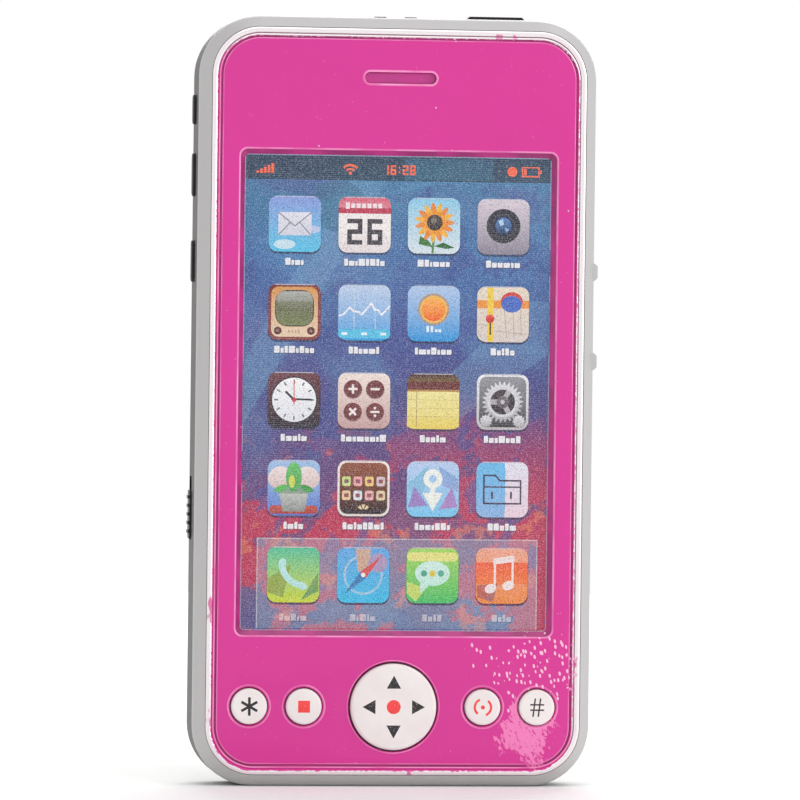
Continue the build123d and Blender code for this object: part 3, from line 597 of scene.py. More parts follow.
@dataclass(frozen=True)
class Moulded(Finish):
    """Plastic, rubber, foam or resin as it leaves its mould, with grain, dust and light scratches."""

    dark: str = "202020"
    light: str = "303030"
    roughness: float = 0.5
    grain: float = 6000.0
    depth: float = 0.00002
    wear: float = 0.6
    coat: float = 0.0
    through: float = 0.0
    gloss: float = 0.5

    def wire(self, graph: Graph) -> None:
        """Colour wanders between two tones, and the gloss and height follow the grain."""
        grain = graph.group(Effect.GRAIN, {"Scale": self.grain}).outputs
        wear = graph.group(Effect.WEAR, {"Scale": 420.0, "Amount": self.wear}).outputs
        colour = graph.mix(grain["Tone"], lit(self.dark), lit(self.light))
        colour = graph.mix(graph.times(wear["Dust"], 0.5), colour, lit("b9b4ae"))
        colour = graph.mix(graph.times(wear["Scratches"], 0.25), colour, lit("c9c6c4"))
        rough = graph.between(grain["Height"], self.roughness * 0.8, min(1.0, self.roughness * 1.2))
        height = graph.minus(grain["Height"], graph.times(wear["Scratches"], 0.6))
        graph.finish(
            Base_Color=colour,
            Roughness=rough,
            Specular_IOR_Level=self.gloss,
            Coat_Weight=self.coat,
            Subsurface_Weight=self.through,
            Subsurface_Scale=0.001,
            Normal=graph.bump(height, self.depth),
        )


@dataclass(frozen=True)
class Brushed(Finish):
    """Bare or plated metal with drawn lines, stains and scratches."""

    dark: str = "8f8f8f"
    light: str = "b5b5b5"
    roughness: float = 0.3
    lines: tuple[float, float, float] = (300.0, 9000.0, 9000.0)
    wear: float = 0.8

    def wire(self, graph: Graph) -> None:
        """Tone and gloss follow the drawn lines and the stains."""
        along = dict(zip(("Along X", "Along Y", "Along Z"), self.lines))
        streaks = graph.group(Effect.STREAKS, along).outputs
        wear = graph.group(Effect.WEAR, {"Scale": 500.0, "Amount": self.wear}).outputs
        share = graph.times(graph.plus(streaks["Height"], streaks["Tone"]), 0.5)
        colour = graph.mix(share, lit(self.dark), lit(self.light))
        rough = graph.between(share, self.roughness * 1.3, self.roughness * 0.75)
        rough = graph.plus(rough, graph.times(wear["Dust"], 0.3))
        height = graph.minus(streaks["Height"], graph.times(wear["Scratches"], 0.8))
        graph.finish(Base_Color=colour, Metallic=1.0, Roughness=rough, Normal=graph.bump(height, 0.000004))


@dataclass(frozen=True)
class SilverPaint(Finish):
    """Satin silver paint with fine flakes and a few touches of pink overspray."""

    def wire(self, graph: Graph) -> None:
        """Flakes are small cells that differ in tone, over plastic with a slight orange peel."""
        place = graph.place()
        flakes = graph.node("TexVoronoi", {"Vector": place, "Scale": 9000.0})
        tone = graph.node("SeparateColor", {0: flakes.outputs["Color"]}).outputs[0]
        wear = graph.group(Effect.WEAR, {"Scale": 380.0, "Amount": 0.7}).outputs
        broad = graph.noise(place, 90.0, 3)
        colour = graph.mix(graph.times(tone, 0.55), lit("cdc8ca"), lit("e6e2e3"))
        colour = graph.mix(graph.step(broad, 0.35, 0.75, 0, 0.35), colour, lit("bab4b7"))
        smear = graph.times(graph.step(graph.noise(place, 190.0, 4, 0.7), 0.66, 0.70), 0.55)
        colour = graph.mix(smear, colour, lit("dd6aa8"))
        colour = graph.mix(graph.times(wear["Dust"], 0.6), colour, lit("6f6a6a"))
        peel = graph.noise(place, 2200.0, 2)
        rough = graph.between(tone, 0.34, 0.5)
        graph.finish(
            Base_Color=colour,
            Metallic=graph.step(smear, 0.0, 0.5, 0.34, 0.05),
            Roughness=rough,
            Normal=graph.bump(graph.plus(peel, graph.times(tone, 0.2)), 0.000012),
        )


@dataclass(frozen=True)
class PlatedPaint(Finish):
    """Gloss pink paint over bright plating, sprayed through a mask that leaves the rim bare."""

    half_width: float = 0.03125
    half_height: float = 0.060
    radius: float = 0.0094
    middle_height: float = 0.060
    edge_inset: float = 0.00285
    valley_shade_inset: float = 0.00281
    shift_across: float = -0.00015
    shift_up: float = -0.00035
    # Place and size of the painted glint: a light patch and dots that stand for a lamp's reflection broken by
    # the orange peel.
    glint_middle: tuple[float, float] = (0.0212, 0.0088)
    glint_half: tuple[float, float] = (0.0047, 0.0062)
    glint_dots_middle: tuple[float, float] = (0.0240, 0.0188)
    glint_dots_half: tuple[float, float] = (0.0128, 0.0060)
    glint_dots_density: float = 1450.0
    glint_dots_size: tuple[float, float] = (0.10, 0.38)

    def inset(self, graph: Graph, axes: Any, across: float, up: float) -> Socket:
        """Inset from the body's outline, moved aside by a small amount."""
        values = {
            "Across": graph.minus(axes[0], across),
            "Up": graph.minus(axes[2], self.middle_height + up),
            "Half Width": self.half_width,
            "Half Height": self.half_height,
            "Radius": self.radius,
        }
        return graph.times(graph.group(Effect.OUTLINE, values).outputs[0], -1.0)

    def wire(self, graph: Graph) -> None:
        """Paint lies inside a ragged outline; specks show the plating, and the paint has an orange peel."""
        place = graph.place()
        axes = graph.node("SeparateXYZ", {0: place}).outputs
        inset = self.inset(graph, axes, self.shift_across, self.shift_up)
        ragged = graph.noise(place, 1500.0, 4, 0.65)
        edge = graph.plus(inset, graph.times(graph.minus(ragged, 0.5), 0.00075))
        painted = graph.step(edge, self.edge_inset - 0.00005, self.edge_inset + 0.00005)
        wear = graph.group(Effect.WEAR, {"Scale": 330.0, "Amount": 1.0}).outputs
        bare = graph.times(wear["Dust"], 0.9)
        painted = graph.math("MULTIPLY", painted, graph.minus(1.0, bare), clamp=True)
        smear_noise = graph.noise(graph.stretched(place, (1, 1, 0.3)), 420.0, 3, 0.6)
        smear = graph.times(graph.step(smear_noise, 0.66, 0.7), graph.step(inset, 0.0019, 0.0023))
        painted = graph.math("MAXIMUM", painted, graph.times(smear, 0.8))
        patch = self.painted_glint(graph, place, axes)
        broad = graph.noise(place, 45.0, 2)
        pink = graph.mix(broad, lit("d62a92"), lit("dc2f97"))
        # This attribute holds the faceplate's painted highlights and painted shade, mixed over the pink.
        relief_highlight_shade = graph.node("Attribute", attribute_name=INK).outputs
        even = graph.step(graph.noise(place, 170.0, 2), 0.36, 0.6, 0.5, 1)
        pink = graph.mix(graph.times(relief_highlight_shade["Alpha"], even), pink, relief_highlight_shade["Color"])
        # Painted glint: light pink over the patch.
        pink = graph.mix(graph.times(patch, 0.8), pink, lit("fb8cc6"))
        # Painted glint: light dots above the patch.
        pink = graph.mix(self.glint_dots(graph, place, axes), pink, lit("ffd0e8"))
        # Painted shade: a thin dark line on the plating in the valley between the two beads.
        line = graph.step(
            graph.math("ABSOLUTE", graph.minus(self.inset(graph, axes, 0.0, 0.0), self.valley_shade_inset)),
            0.00003, 0.0001, 1, 0,
        )
        plating = graph.mix(line, lit("efe7ea"), lit("8a6070"))
        colour = graph.mix(painted, plating, pink)
        peel = graph.noise(place, 1300.0, 2, 0.45)
        fine = graph.noise(place, 420.0, 1)
        height = graph.plus(graph.times(peel, 0.35), graph.times(fine, 0.65))
        height = graph.plus(height, graph.times(painted, 0.8))
        height = graph.plus(height, graph.times(patch, 1.4))
        rough = graph.between(painted, 0.22, 0.13)
        rough = graph.plus(rough, graph.times(wear["Scratches"], 0.25))
        graph.finish(
            Base_Color=colour,
            Metallic=graph.between(painted, 0.8, 0.0),
            Roughness=rough,
            Specular_IOR_Level=0.5,
            Normal=graph.bump(height, 0.000012),
        )

    def reach(self, graph: Graph, axes: Any, middle: Sequence[float], half: Sequence[float]) -> Socket:
        """Distance from an ellipse's middle, in shares of its half sizes, across and up."""
        squares = []
        for axis, at, size in zip((axes[0], axes[2]), middle, half):
            squares.append(graph.math("POWER", graph.math("DIVIDE", graph.minus(axis, at), size), 2.0))
        return graph.math("SQRT", graph.plus(*squares))

    def painted_glint(self, graph: Graph, place: Socket, axes: Any) -> Socket:
        """Painted glint: ragged light patch beside the last key, standing for a lamp's broken reflection, and
        broken by slanting gaps.
        """
        reach = self.reach(graph, axes, self.glint_middle, self.glint_half)
        wander = graph.times(graph.minus(graph.noise(place, 330.0, 3), 0.5), 1.5)
        near = graph.step(graph.plus(reach, wander), 0.55, 1.15, 1, 0)
        gaps = graph.noise(graph.stretched(place, (2.0, 1, 0.75), (0, 0.45, 0)), 1350.0, 3, 0.65)
        return graph.step(graph.plus(graph.times(near, 0.33), gaps), 0.70, 0.76)

    def glint_dots(self, graph: Graph, place: Socket, axes: Any) -> Socket:
        """Painted glint: light dots above the patch, small upright cells, more of them chosen towards the
        right.
        """
        reach = self.reach(graph, axes, self.glint_dots_middle, self.glint_dots_half)
        wander = graph.times(graph.minus(graph.noise(place, 240.0, 2), 0.5), 0.8)
        near = graph.step(graph.plus(reach, wander), 0.2, 1.2, 1, 0)
        upright = graph.stretched(place, (1.3, 1, 0.7), (0, 0.2, 0))
        cells = graph.node("TexVoronoi", {"Vector": upright, "Scale": self.glint_dots_density})
        chance = graph.node("SeparateColor", {0: cells.outputs["Color"]}).outputs
        size = graph.between(chance[1], *self.glint_dots_size)
        dot = graph.step(graph.minus(cells.outputs["Distance"], size), -0.03, 0.03, 1, 0)
        chosen = graph.step(graph.minus(chance[0], near), -0.02, 0.0, 1, 0)
        return graph.times(graph.times(dot, chosen), 0.85)


@dataclass(frozen=True)
class PrintedPlastic(Finish):
    """White satin plastic whose printed signs come with the mesh."""

    def wire(self, graph: Graph) -> None:
        """The ink covers the plastic, thinner here and there, and stands a hair above it."""
        print_ = graph.node("Attribute", attribute_name=INK).outputs
        grain = graph.group(Effect.GRAIN, {"Scale": 3500.0}).outputs
        wear = graph.group(Effect.WEAR, {"Scale": 600.0, "Amount": 0.7}).outputs
        plastic = graph.mix(grain["Tone"], lit("efe7e6"), lit("f4eeec"))
        plastic = graph.mix(graph.times(wear["Dust"], 0.5), plastic, lit("a99c98"))
        gaps = graph.step(graph.noise(graph.place(), 5200.0, 2), 0.62, 0.74, 1, 0.55)
        cover = graph.times(print_["Alpha"], gaps)
        colour = graph.mix(cover, plastic, print_["Color"])
        height = graph.plus(graph.times(grain["Height"], 0.4), cover)
        graph.finish(
            Base_Color=colour,
            Roughness=graph.between(cover, 0.34, 0.5),
            Normal=graph.bump(height, 0.000008),
            Subsurface_Weight=0.15,
            Subsurface_Scale=0.0008,
        )


@dataclass(frozen=True)
class LensPicture(Finish):
    """Picture under a lens sheet: painted wallpaper, printed shapes over it, lens ribs and print grain."""

    low: float = 0.0243
    height: float = 0.0741
    rib_pitch: float = 0.00032

    def wallpaper(self, graph: Graph, place: Socket, rise: Socket) -> Socket:
        """Painted clouds: blue above, violet in the middle, pink, red and orange blooms below."""
        warp = graph.noise(place, 70.0, 4, 0.6)
        level = graph.plus(rise, graph.times(graph.minus(warp, 0.5), 0.16))
        base = graph.ramp(level, [
            (0.0, "565088"), (1.0, "437aa6"), (0.10, "705888"), (0.2, "864672"), (0.34, "66407a"),
            (0.48, "464684"), (0.64, "445496"), (0.8, "4270a8"), (0.93, "3f78a2"),
        ])
        drift = graph.stretched(place, (1, 1, 0.7), (0, 0.7, 0))
        cool = graph.step(graph.noise(drift, 55.0, 3), 0.5, 0.62)
        base = graph.mix(graph.times(cool, 0.35), base, lit("5f98c4"))
        deep = graph.step(graph.noise(graph.stretched(place, (1, 1, 1.3)), 48.0, 4, 0.6), 0.56, 0.64)
        base = graph.mix(graph.times(deep, 0.5), base, lit("4a4c8e"))
        lower = graph.step(level, 0.22, 0.52, 1, 0)
        right = graph.step(graph.node("SeparateXYZ", {0: place}).outputs[0], 0.004, 0.020, 0, 0.09)
        blooms = graph.noise(graph.stretched(place, (1, 1, 1.2), (0, 0.4, 0)), 120.0, 5, 0.62)
        red = graph.times(graph.step(graph.plus(blooms, right), 0.49, 0.53), lower)
        base = graph.mix(graph.times(red, 0.85), base, lit("c8324f"))
        ember = graph.noise(place, 170.0, 4, 0.6)
        orange = graph.times(graph.step(ember, 0.57, 0.6), lower)
        base = graph.mix(graph.times(orange, 0.5), base, lit("e4825c"))
        blue = graph.noise(graph.stretched(place, (1.2, 1, 0.8), (0, -0.5, 0)), 150.0, 4, 0.6)
        base = graph.mix(graph.times(graph.step(blue, 0.58, 0.61), 0.6), base, lit("3c4f92"))
        veil = graph.times(graph.step(graph.noise(place, 95.0, 3), 0.5, 0.7), graph.step(level, 0.3, 0.6))
        return graph.mix(graph.times(veil, 0.25), base, lit("6e5490"))

    def wire(self, graph: Graph) -> None:
        """The print covers the wallpaper; grain and ribs break both up, and the ribs raise the surface."""
        place = graph.place()
        axes = graph.node("SeparateXYZ", {0: place}).outputs
        rise = graph.math("DIVIDE", graph.minus(axes[2], self.low), self.height)
        print_ = graph.node("Attribute", attribute_name=INK).outputs
        colour = graph.mix(print_["Alpha"], self.wallpaper(graph, place, rise), print_["Color"])
        turns = graph.times(axes[2], 2 * math.pi / self.rib_pitch)
        rib = graph.math("ABSOLUTE", graph.math("SINE", graph.times(turns, 0.5)))
        grain = graph.noise(place, 5200.0, 3, 0.7)
        patchy = graph.step(graph.noise(place, 60.0, 2), 0.4, 0.65, 0.25, 1)
        lines = graph.times(graph.step(rib, 0.0, 0.6, 1, 0), graph.times(patchy, 0.2))
        colour = graph.mix(lines, colour, lit("c9c3d6"))
        dark = graph.step(grain, 0.36, 0.5, 0.46, 0)
        light = graph.step(grain, 0.51, 0.66, 0, 0.34)
        colour = graph.mix(dark, colour, lit("10142c"))
        colour = graph.mix(light, colour, lit("cfd6e6"))
        height = graph.plus(rib, graph.times(grain, 0.3))
        graph.finish(
            Base_Color=colour,
            Roughness=graph.between(grain, 0.32, 0.55),
            Normal=graph.bump(height, 0.00001, 0.6),
            Specular_IOR_Level=0.35,
        )


@dataclass(frozen=True)
class SolderMask(Finish):
    """Brown laminate under green solder mask with copper tracks that show through as lighter lines."""

    def wire(self, graph: Graph) -> None:
        """Tracks are thin level lines of square cells, with tinned pads where two sets of cells meet."""
        place = graph.place()
        squares = {"Vector": place, "Scale": 210.0}
        cells = graph.node("TexVoronoi", squares, distance="CHEBYCHEV", feature="F1")
        rings = graph.math("FRACT", graph.times(cells.outputs["Distance"], 4.0))
        track = graph.step(graph.math("ABSOLUTE", graph.minus(rings, 0.5)), 0.1, 0.16, 1, 0)
        pads = graph.node("TexVoronoi", {"Vector": place, "Scale": 330.0})
        pad = graph.step(pads.outputs["Distance"], 0.14, 0.17, 1, 0)
        grain = graph.group(Effect.GRAIN, {"Scale": 4000.0}).outputs
        mask = graph.mix(grain["Tone"], lit("1f5a2c"), lit("2a6a34"))
        colour = graph.mix(graph.times(track, 0.7), mask, lit("4f9a55"))
        colour = graph.mix(pad, colour, lit("c9c6bd"))
        height = graph.plus(track, pad)
        graph.finish(
            Base_Color=colour,
            Metallic=graph.times(pad, 0.9),
            Roughness=graph.between(pad, 0.35, 0.28),
            Normal=graph.bump(height, 0.00003),
        )


# ---------------------------------------------------------------------- picture


@dataclass
class Drawing:
    """Printed shapes in the order that they are laid down, drawn about a movable origin."""

    shapes: list[Shape] = field(default_factory=list)
    origin: tuple[float, float] = (0.0, 0.0)

    def put(self, loop: Loop, ink: Ink) -> None:
        """Lays down one outline, turned anticlockwise so that its area is positive."""
        after = np.roll(loop, -1, axis=0)
        area = np.sum(loop[:, 0] * after[:, 1] - after[:, 0] * loop[:, 1]) / 2
        self.shapes.append(Shape((loop if area > 0 else loop[::-1]) + np.asarray(self.origin), ink))

    def box(
        self, width: float, height: float, ink: Ink, at: Sequence[float] = (0, 0), radius: float = 0.0
    ) -> None:
        """Lays down a rectangle, rounded where it has a radius."""
        half = np.array([width, height]) / 2
        corners = np.array([[-1, -1], [1, -1], [1, 1], [-1, 1]]) * half + np.asarray(at, float)
        self.put(rounded(width, height, radius, at, 5) if radius else corners, ink)

    def disc(
        self, radius: float, ink: Ink, at: Sequence[float] = (0, 0), up: float = 0.0, turn: float = 0.0
    ) -> None:
        """Lays down a disc, or an oval where its other half axis is given."""
        self.put(oval(radius, up or radius, at, 28 if radius > 0.6 else 14, turn), ink)

    def lines(self, points: Sequence[Sequence[float]], width: float, ink: Ink) -> None:
        """Lays down strokes from point to point."""
        for start, end in zip(points, points[1:]):
            self.put(bar(start, end, width), ink)

    def poly(self, points: Sequence[Sequence[float]], ink: Ink) -> None:
        """Lays down a polygon."""
        self.put(np.array(points, float), ink)

    def ring(self, inner: float, outer: float, ink: Ink, at: Sequence[float] = (0, 0)) -> None:
        """Lays down a ring as two halves."""
        self.put(arc_band(inner, outer, 0, 180, at), ink)
        self.put(arc_band(inner, outer, 180, 360, at), ink)


DIGITS = {"0": "abcdef", "1": "bc", "2": "abged", "5": "afgcd", "6": "afgecd", "8": "abcdefg", "9": "abcdfg"}


def figure(
    drawing: Drawing, sign: str, at: Sequence[float], size: Sequence[float], width: float, ink: Ink
) -> None:
    """Draws a figure out of seven strokes.

    Args:
        drawing: Where it is drawn.
        sign: The figure.
        at: Its middle.
        size: Its width and height over the strokes' middles.
        width: Width of the strokes.
        ink: Its ink.
    """
    x, z = at
    w, h = size[0] / 2, size[1] / 2
    ends = {
        "a": ((-w, h), (w, h)), "b": ((w, h), (w, 0)), "c": ((w, 0), (w, -h)), "d": ((-w, -h), (w, -h)),
        "e": ((-w, 0), (-w, -h)), "f": ((-w, h), (-w, 0)), "g": ((-w, 0), (w, 0)),
    }
    for stroke in DIGITS[sign]:
        (x0, z0), (x1, z1) = ends[stroke]
        drawing.put(bar((x + x0, z + z0), (x + x1, z + z1), width), ink)
        for end in ((x0, z0), (x1, z1)):
            drawing.put(oval(width / 2, width / 2, (x + end[0], z + end[1]), 16), ink)


@dataclass
class IconSheet:
    """Twenty small pictures on a wallpaper, with a status line above and a tray below."""

    low: float
    height: float
    columns: tuple[float, ...] = (-16.4, -5.45, 5.45, 16.4)
    rows: tuple[float, ...] = (87.6, 73.9, 60.2, 46.5, 33.0)
    tile: tuple[float, float, float] = (8.2, 8.7, 1.4)
    label_drop: float = 5.85
    shift: float = 0.2
    lean: float = 0.0073
    label_widths: tuple[tuple[float, ...], ...] = (
        (3.0, 6.5, 5.2, 5.5), (6.4, 4.9, 5.9, 3.9), (4.2, 7.2, 4.2, 5.9),
        (3.2, 6.6, 5.7, 4.6), (4.4, 4.2, 3.2, 3.2),
    )
    draw: Drawing = field(default_factory=Drawing)

    def shapes(self) -> list[Shape]:
        """All the shapes, from the wallpaper's hazes to the labels."""
        self.hazes()
        self.tray()
        self.status()
        pictures = (
            (self.envelope, self.calendar, self.flower, self.camera),
            (self.television, self.chart, self.sun, self.map),
            (self.clock, self.calculator, self.notepad, self.gear),
            (self.pot_plant, self.launcher, self.download, self.folder),
            (self.handset, self.compass, self.bubble, self.note),
        )
        random = np.random.default_rng(4)
        for z, row, widths in zip(self.rows, pictures, self.label_widths):
            for x, picture, width in zip(self.columns, row, widths):
                self.draw.origin = (x + self.lean * (self.rows[0] - z) + self.shift, z)
                wide, tall, _ = self.tile
                self.draw.box(wide + 0.1, tall + 0.1, Ink("1c1838", cover=0.75), (0, -0.28), 1.45)
                picture()
                self.draw.box(wide - 2.0, 0.14, Ink("ffffff", cover=0.45), (0, tall / 2 - 0.1), 0.06)
                drop = self.label_drop if z > self.rows[-1] else self.label_drop + 0.8
                self.label(width, drop, random, 0.95 if z > self.rows[-1] else 0.5)
        return self.draw.shapes

    def ground(self, ink: Ink, trim: float = 0.0) -> None:
        """Fills the icon's tile, or a smaller one inside it."""
        width, height, radius = self.tile
        self.draw.box(width - 2 * trim, height - 2 * trim, ink, radius=radius - trim * 0.6)

    def label(self, width: float, drop: float, random: np.random.Generator, cover: float) -> None:
        """Row of small blocks that stands for a word, each over a dark shadow."""
        count = max(3, round(width / 0.85))
        cuts = np.sort(np.linspace(0, 1, count + 1)[1:-1] + random.uniform(-0.3, 0.3, count - 1) / count)
        edges = np.concatenate([[0], cuts, [1]]) * width - width / 2
        tops = random.choice([0.78, 0.78, 1.1], count)
        tops[0] = 1.1
        for shade, shift, share in (("161030", (0.1, -0.13), 0.7), ("f3f1f4", (0, 0), 1.0)):
            for left, right, top in zip(edges, edges[1:], tops):
                at = ((left + right) / 2 + shift[0], -drop - 0.56 + top / 2 + shift[1])
                self.draw.box(right - left - 0.14, top, Ink(shade, cover=share * cover), at, 0.12)

    def hazes(self) -> None:
        """Large faint facets and rings behind the icons."""
        light, dark = Ink("7fb6d6", cover=0.22), Ink("3c4a8c", cover=0.25)
        self.draw.poly([(-24.1, 66), (-24.1, 56), (-2, 94.4), (-8, 94.4)], light)
        self.draw.poly([(-24.1, 52), (-24.1, 47), (-6, 77), (-9, 77.4)], dark)
        self.draw.poly([(4, 60), (20, 76), (24.1, 76), (24.1, 68), (8, 56)], light)
        self.draw.poly([(8, 94.4), (24.1, 84), (24.1, 80), (-2, 92)], dark)
        self.draw.disc(4.6, Ink("2f6a78", cover=0.35), (-9.5, 90.5), 4.0)
        rings = (
            ((-9.6, 33), 2.0, "f08a5a"), ((-5.0, 33.5), 2.6, "f3b48a"), ((1.6, 29.2), 1.8, "ee8fa8"),
            ((12.0, 32.6), 2.2, "4a4a8a"), ((-13, 26.4), 1.2, "d83a4a"), ((-10.2, 25.8), 1.2, "e0414f"),
        )
        for at, radius, code in rings:
            self.draw.ring(radius * 0.45, radius, Ink(code, cover=0.6), at)

    def tray(self) -> None:
        """Paler tray under the last row, with a thin light border."""
        top = 38.6
        foot = self.low + 0.2
        self.draw.box(44, top - foot, Ink("b9c6d8", "a9c4d6", 0.27), (0.5, (top + foot) / 2))
        edge = Ink("e6ecf2", cover=0.6)
        self.draw.lines([(-21.5, foot), (-21.5, top), (22.5, top), (22.5, foot)], 0.14, edge)

    def status(self) -> None:
        """Dark line along the top with orange marks: bars, waves, the time, a dot and a battery."""
        top, foot = self.low + self.height, 94.5
        width = 47.9
        self.draw.box(width, top - foot, Ink("132c3c", "1c3846", 0.86), (0, (top + foot) / 2))
        self.draw.box(14, top - foot - 0.4, Ink("10403c", cover=0.55), (8, (top + foot) / 2))
        mark, z = Ink("ff6b3e"), 96.2
        for i in range(5):
            tall = 0.35 + 0.3 * i
            self.draw.box(0.42, tall, mark, (-22.1 + 0.58 * i, z - 0.75 + tall / 2))
        for inner, outer in ((1.25, 1.6), (0.65, 0.95)):
            self.draw.put(arc_band(inner, outer, 42, 138, (-7.6, z - 0.75)), mark)
        self.draw.disc(0.26, mark, (-7.6, z - 0.6))
        for x, sign in zip((-2.0, -0.85, 1.05, 2.2), "1628"):
            figure(self.draw, sign, (x, z), (0.6, 1.25), 0.27, mark)
        for dz in (-0.35, 0.35):
            self.draw.box(0.26, 0.26, mark, (0.1, z + dz))
        self.draw.disc(0.78, mark, (17.9, z))
        left, right, half = 19.5, 22.1, 0.7
        frame = [(left, z - half), (right, z - half), (right, z + half), (left, z + half), (left, z - half)]
        self.draw.lines(frame, 0.2, mark)
        self.draw.box(0.25, 0.6, mark, (22.42, z))
        self.draw.box(0.45, 0.95, mark, (19.95, z))

    def envelope(self) -> None:
        """Letter on a sky."""
        self.ground(Ink("8ea0e0", "58c6ea"))
        self.draw.disc(1.7, Ink("d4eef8", cover=0.9), (-1.6, -3.2), 0.75)
        self.draw.disc(1.0, Ink("c6d2f2", cover=0.9), (3.0, -0.8), 0.6)
        self.draw.box(5.2, 3.6, Ink("e6e5f0", "d6d7e4"))
        fold = Ink("7d7d8c")
        self.draw.lines([(-2.5, 1.7), (0, -0.35), (2.5, 1.7)], 0.16, fold)
        self.draw.lines([(-2.5, -1.7), (-0.8, 0.15)], 0.14, fold)
        self.draw.lines([(2.5, -1.7), (0.8, 0.15)], 0.14, fold)

    def calendar(self) -> None:
        """Page of a calendar with a red head and the day in figures."""
        self.ground(Ink("de5a72", "f3ebea"))
        self.draw.box(8.2, 5.2, Ink("f6efed"), (0, -0.4))
        self.draw.box(8.2, 3.2, Ink("f3ebea", "eadfe0"), (0, -2.75), 1.35)
        self.draw.box(8.2, 0.9, Ink("c2304c"), (0, 2.2))
        for x in (-2.7, -1.85, -1.0, -0.15, 0.7, 1.55, 2.4):
            self.draw.box(0.62, 0.75 if x != -2.7 else 1.0, Ink("f7e6ea"), (x, 2.95))
        for x, sign in ((-1.55, "2"), (1.6, "6")):
            figure(self.draw, sign, (x, -1.1), (1.65, 3.3), 0.72, Ink("3b3236"))

    def flower(self) -> None:
        """Yellow flower on a pale sky."""
        self.ground(Ink("8fcdea", "dbe6ec"))
        self.draw.lines([(0.1, -0.6), (-0.2, -4.1)], 0.36, Ink("4f8a3a"))
        self.draw.poly([(-0.1, -3.4), (-2.4, -2.9), (-2.2, -1.6), (-0.9, -2.3)], Ink("3f7a32"))
        self.draw.poly([(0.0, -3.2), (1.5, -2.6), (3.3, -3.4), (1.9, -3.6)], Ink("2f6a2c"))
        for i in range(15):
            way = math.radians(24 * i)
            at = (0.1 + 1.85 * math.cos(way), 0.5 + 1.85 * math.sin(way))
            self.draw.disc(1.25, Ink("f7b733" if i % 2 else "ee8a1f"), at, 0.42, 24 * i)
        self.draw.disc(1.75, Ink("f29a22"), (0.1, 0.5))
        self.draw.disc(1.25, Ink("54402c", "2a211c"), (0.1, 0.5))
        self.draw.disc(0.45, Ink("7d7568"), (0.0, 0.8))

    def camera(self) -> None:
        """Lens of a camera."""
        self.ground(Ink("dccfd8", "8c8494"))
        for radius, ink in ((2.7, Ink("3a3236")), (2.5, Ink("0e0e14", "2c2a30")), (1.95, Ink("31313a")),
                            (1.6, Ink("14244a", "0c1430")), (1.3, Ink("5684c0", "16284c"))):
            self.draw.disc(radius, ink, (0, 0.1))
        self.draw.poly([(-0.8, 0.9), (-0.1, 1.2), (0.1, 0.3), (-0.5, 0.1)], Ink("b5d4f0"))
        self.draw.poly([(0.1, -0.1), (0.9, -0.4), (0.5, -0.9)], Ink("88b2e0"))

    def television(self) -> None:
        """Old television set with two knobs."""
        self.ground(Ink("7d2c22", "8c3a2c"))
        self.ground(Ink("dc9848", "ecd2b4"), 0.45)
        self.draw.box(6.1, 5.7, Ink("4c3c28"), (0, 0.55), 1.9)
        self.draw.box(5.7, 2.9, Ink("b2b3ac", "777a62"), (0, 1.75), 1.3)
        self.draw.box(5.7, 3.6, Ink("6a6c46", "77804a"), (0, -0.3), 1.5)
        self.draw.box(5.7, 1.4, Ink("85876c", "6a6c46"), (0, 0.9))
        for x in (-2.6, 2.6):
            self.draw.disc(0.62, Ink("5a2420"), (x, -2.95))
            self.draw.disc(0.25, Ink("a87058"), (x, -2.95))
        for x in (-0.8, -0.3, 0.2, 0.7):
            self.draw.box(0.26, 0.5, Ink("c7ab8e"), (x, -3.1))

    def chart(self) -> None:
        """Line of a chart."""
        self.ground(Ink("c4d4ee", "2f9fe2"))
        self.draw.box(8.2, 1.4, Ink("58c4e8"), (0, -3.3), 0.6)
        for x in (-1.6, 1.7):
            self.draw.box(0.14, 6.6, Ink("d4e8f8", cover=0.8), (x, 0.7))
        path = [
            (-3.9, -0.5), (-3.2, -0.2), (-2.3, 0.8), (-1.7, 0.2), (-0.9, 0.1), (-0.4, -0.3), (0.4, 0.6),
            (1.1, 1.5), (1.6, 0.5), (2.2, 0.4), (2.7, -0.3), (3.3, 0.3), (3.9, 1.0),
        ]
        self.draw.lines(path, 0.26, Ink("f7f4fa"))
        for x in (-3.1, 0.0, 3.0):
            self.draw.box(0.9, 0.42, Ink("eaf6fa"), (x, -3.3))

    def sun(self) -> None:
        """Sun over blue."""
        self.ground(Ink("b4cbec", "1f96dc"))
        self.draw.disc(2.5, Ink("c9a982", cover=0.75), (0, 0.65))
        self.draw.disc(2.15, Ink("f6bd4e"), (0, 0.65))
        self.draw.disc(1.85, Ink("ffb648", "f4661a"), (0, 0.65))
        for x, tall in ((-0.9, 0.95), (-0.25, 0.95), (0.45, 0.5), (1.0, 0.5)):
            self.draw.box(0.42, tall, Ink("e6f2fa"), (x, -2.9 + tall / 2))

    def map(self) -> None:
        """Street map with a lake and a pin."""
        self.ground(Ink("ecdcc6", "dccfc8"))
        self.draw.box(8.2, 1.25, Ink("f0983a"), (0, 1.55))
        self.draw.box(0.95, 8.6, Ink("f4cf42"), (-2.0, 0))
        self.draw.disc(1.75, Ink("d6423c"), (1.35, 2.0), 1.5)
        self.draw.disc(1.65, Ink("4a6cc4"), (1.35, 1.6), 1.3)
        street = Ink("bcaea6")
        streets = (
            ((0.2, 0.6), (0.6, -3.6)), ((1.6, 0.3), (1.8, -3.8)), ((2.8, 0.6), (2.9, -3.2)),
            ((-3.9, -1.6), (-2.6, -1.7)), ((-1.3, -2.6), (3.7, -3.1)),
        )
        for points in streets:
            self.draw.lines(points, 0.13, street)
        self.draw.lines([(-2.0, -0.9), (-2.0, -3.1)], 0.24, Ink("35302e"))
        self.draw.disc(0.68, Ink("f0503c", "c42c24"), (-2.05, -0.7))

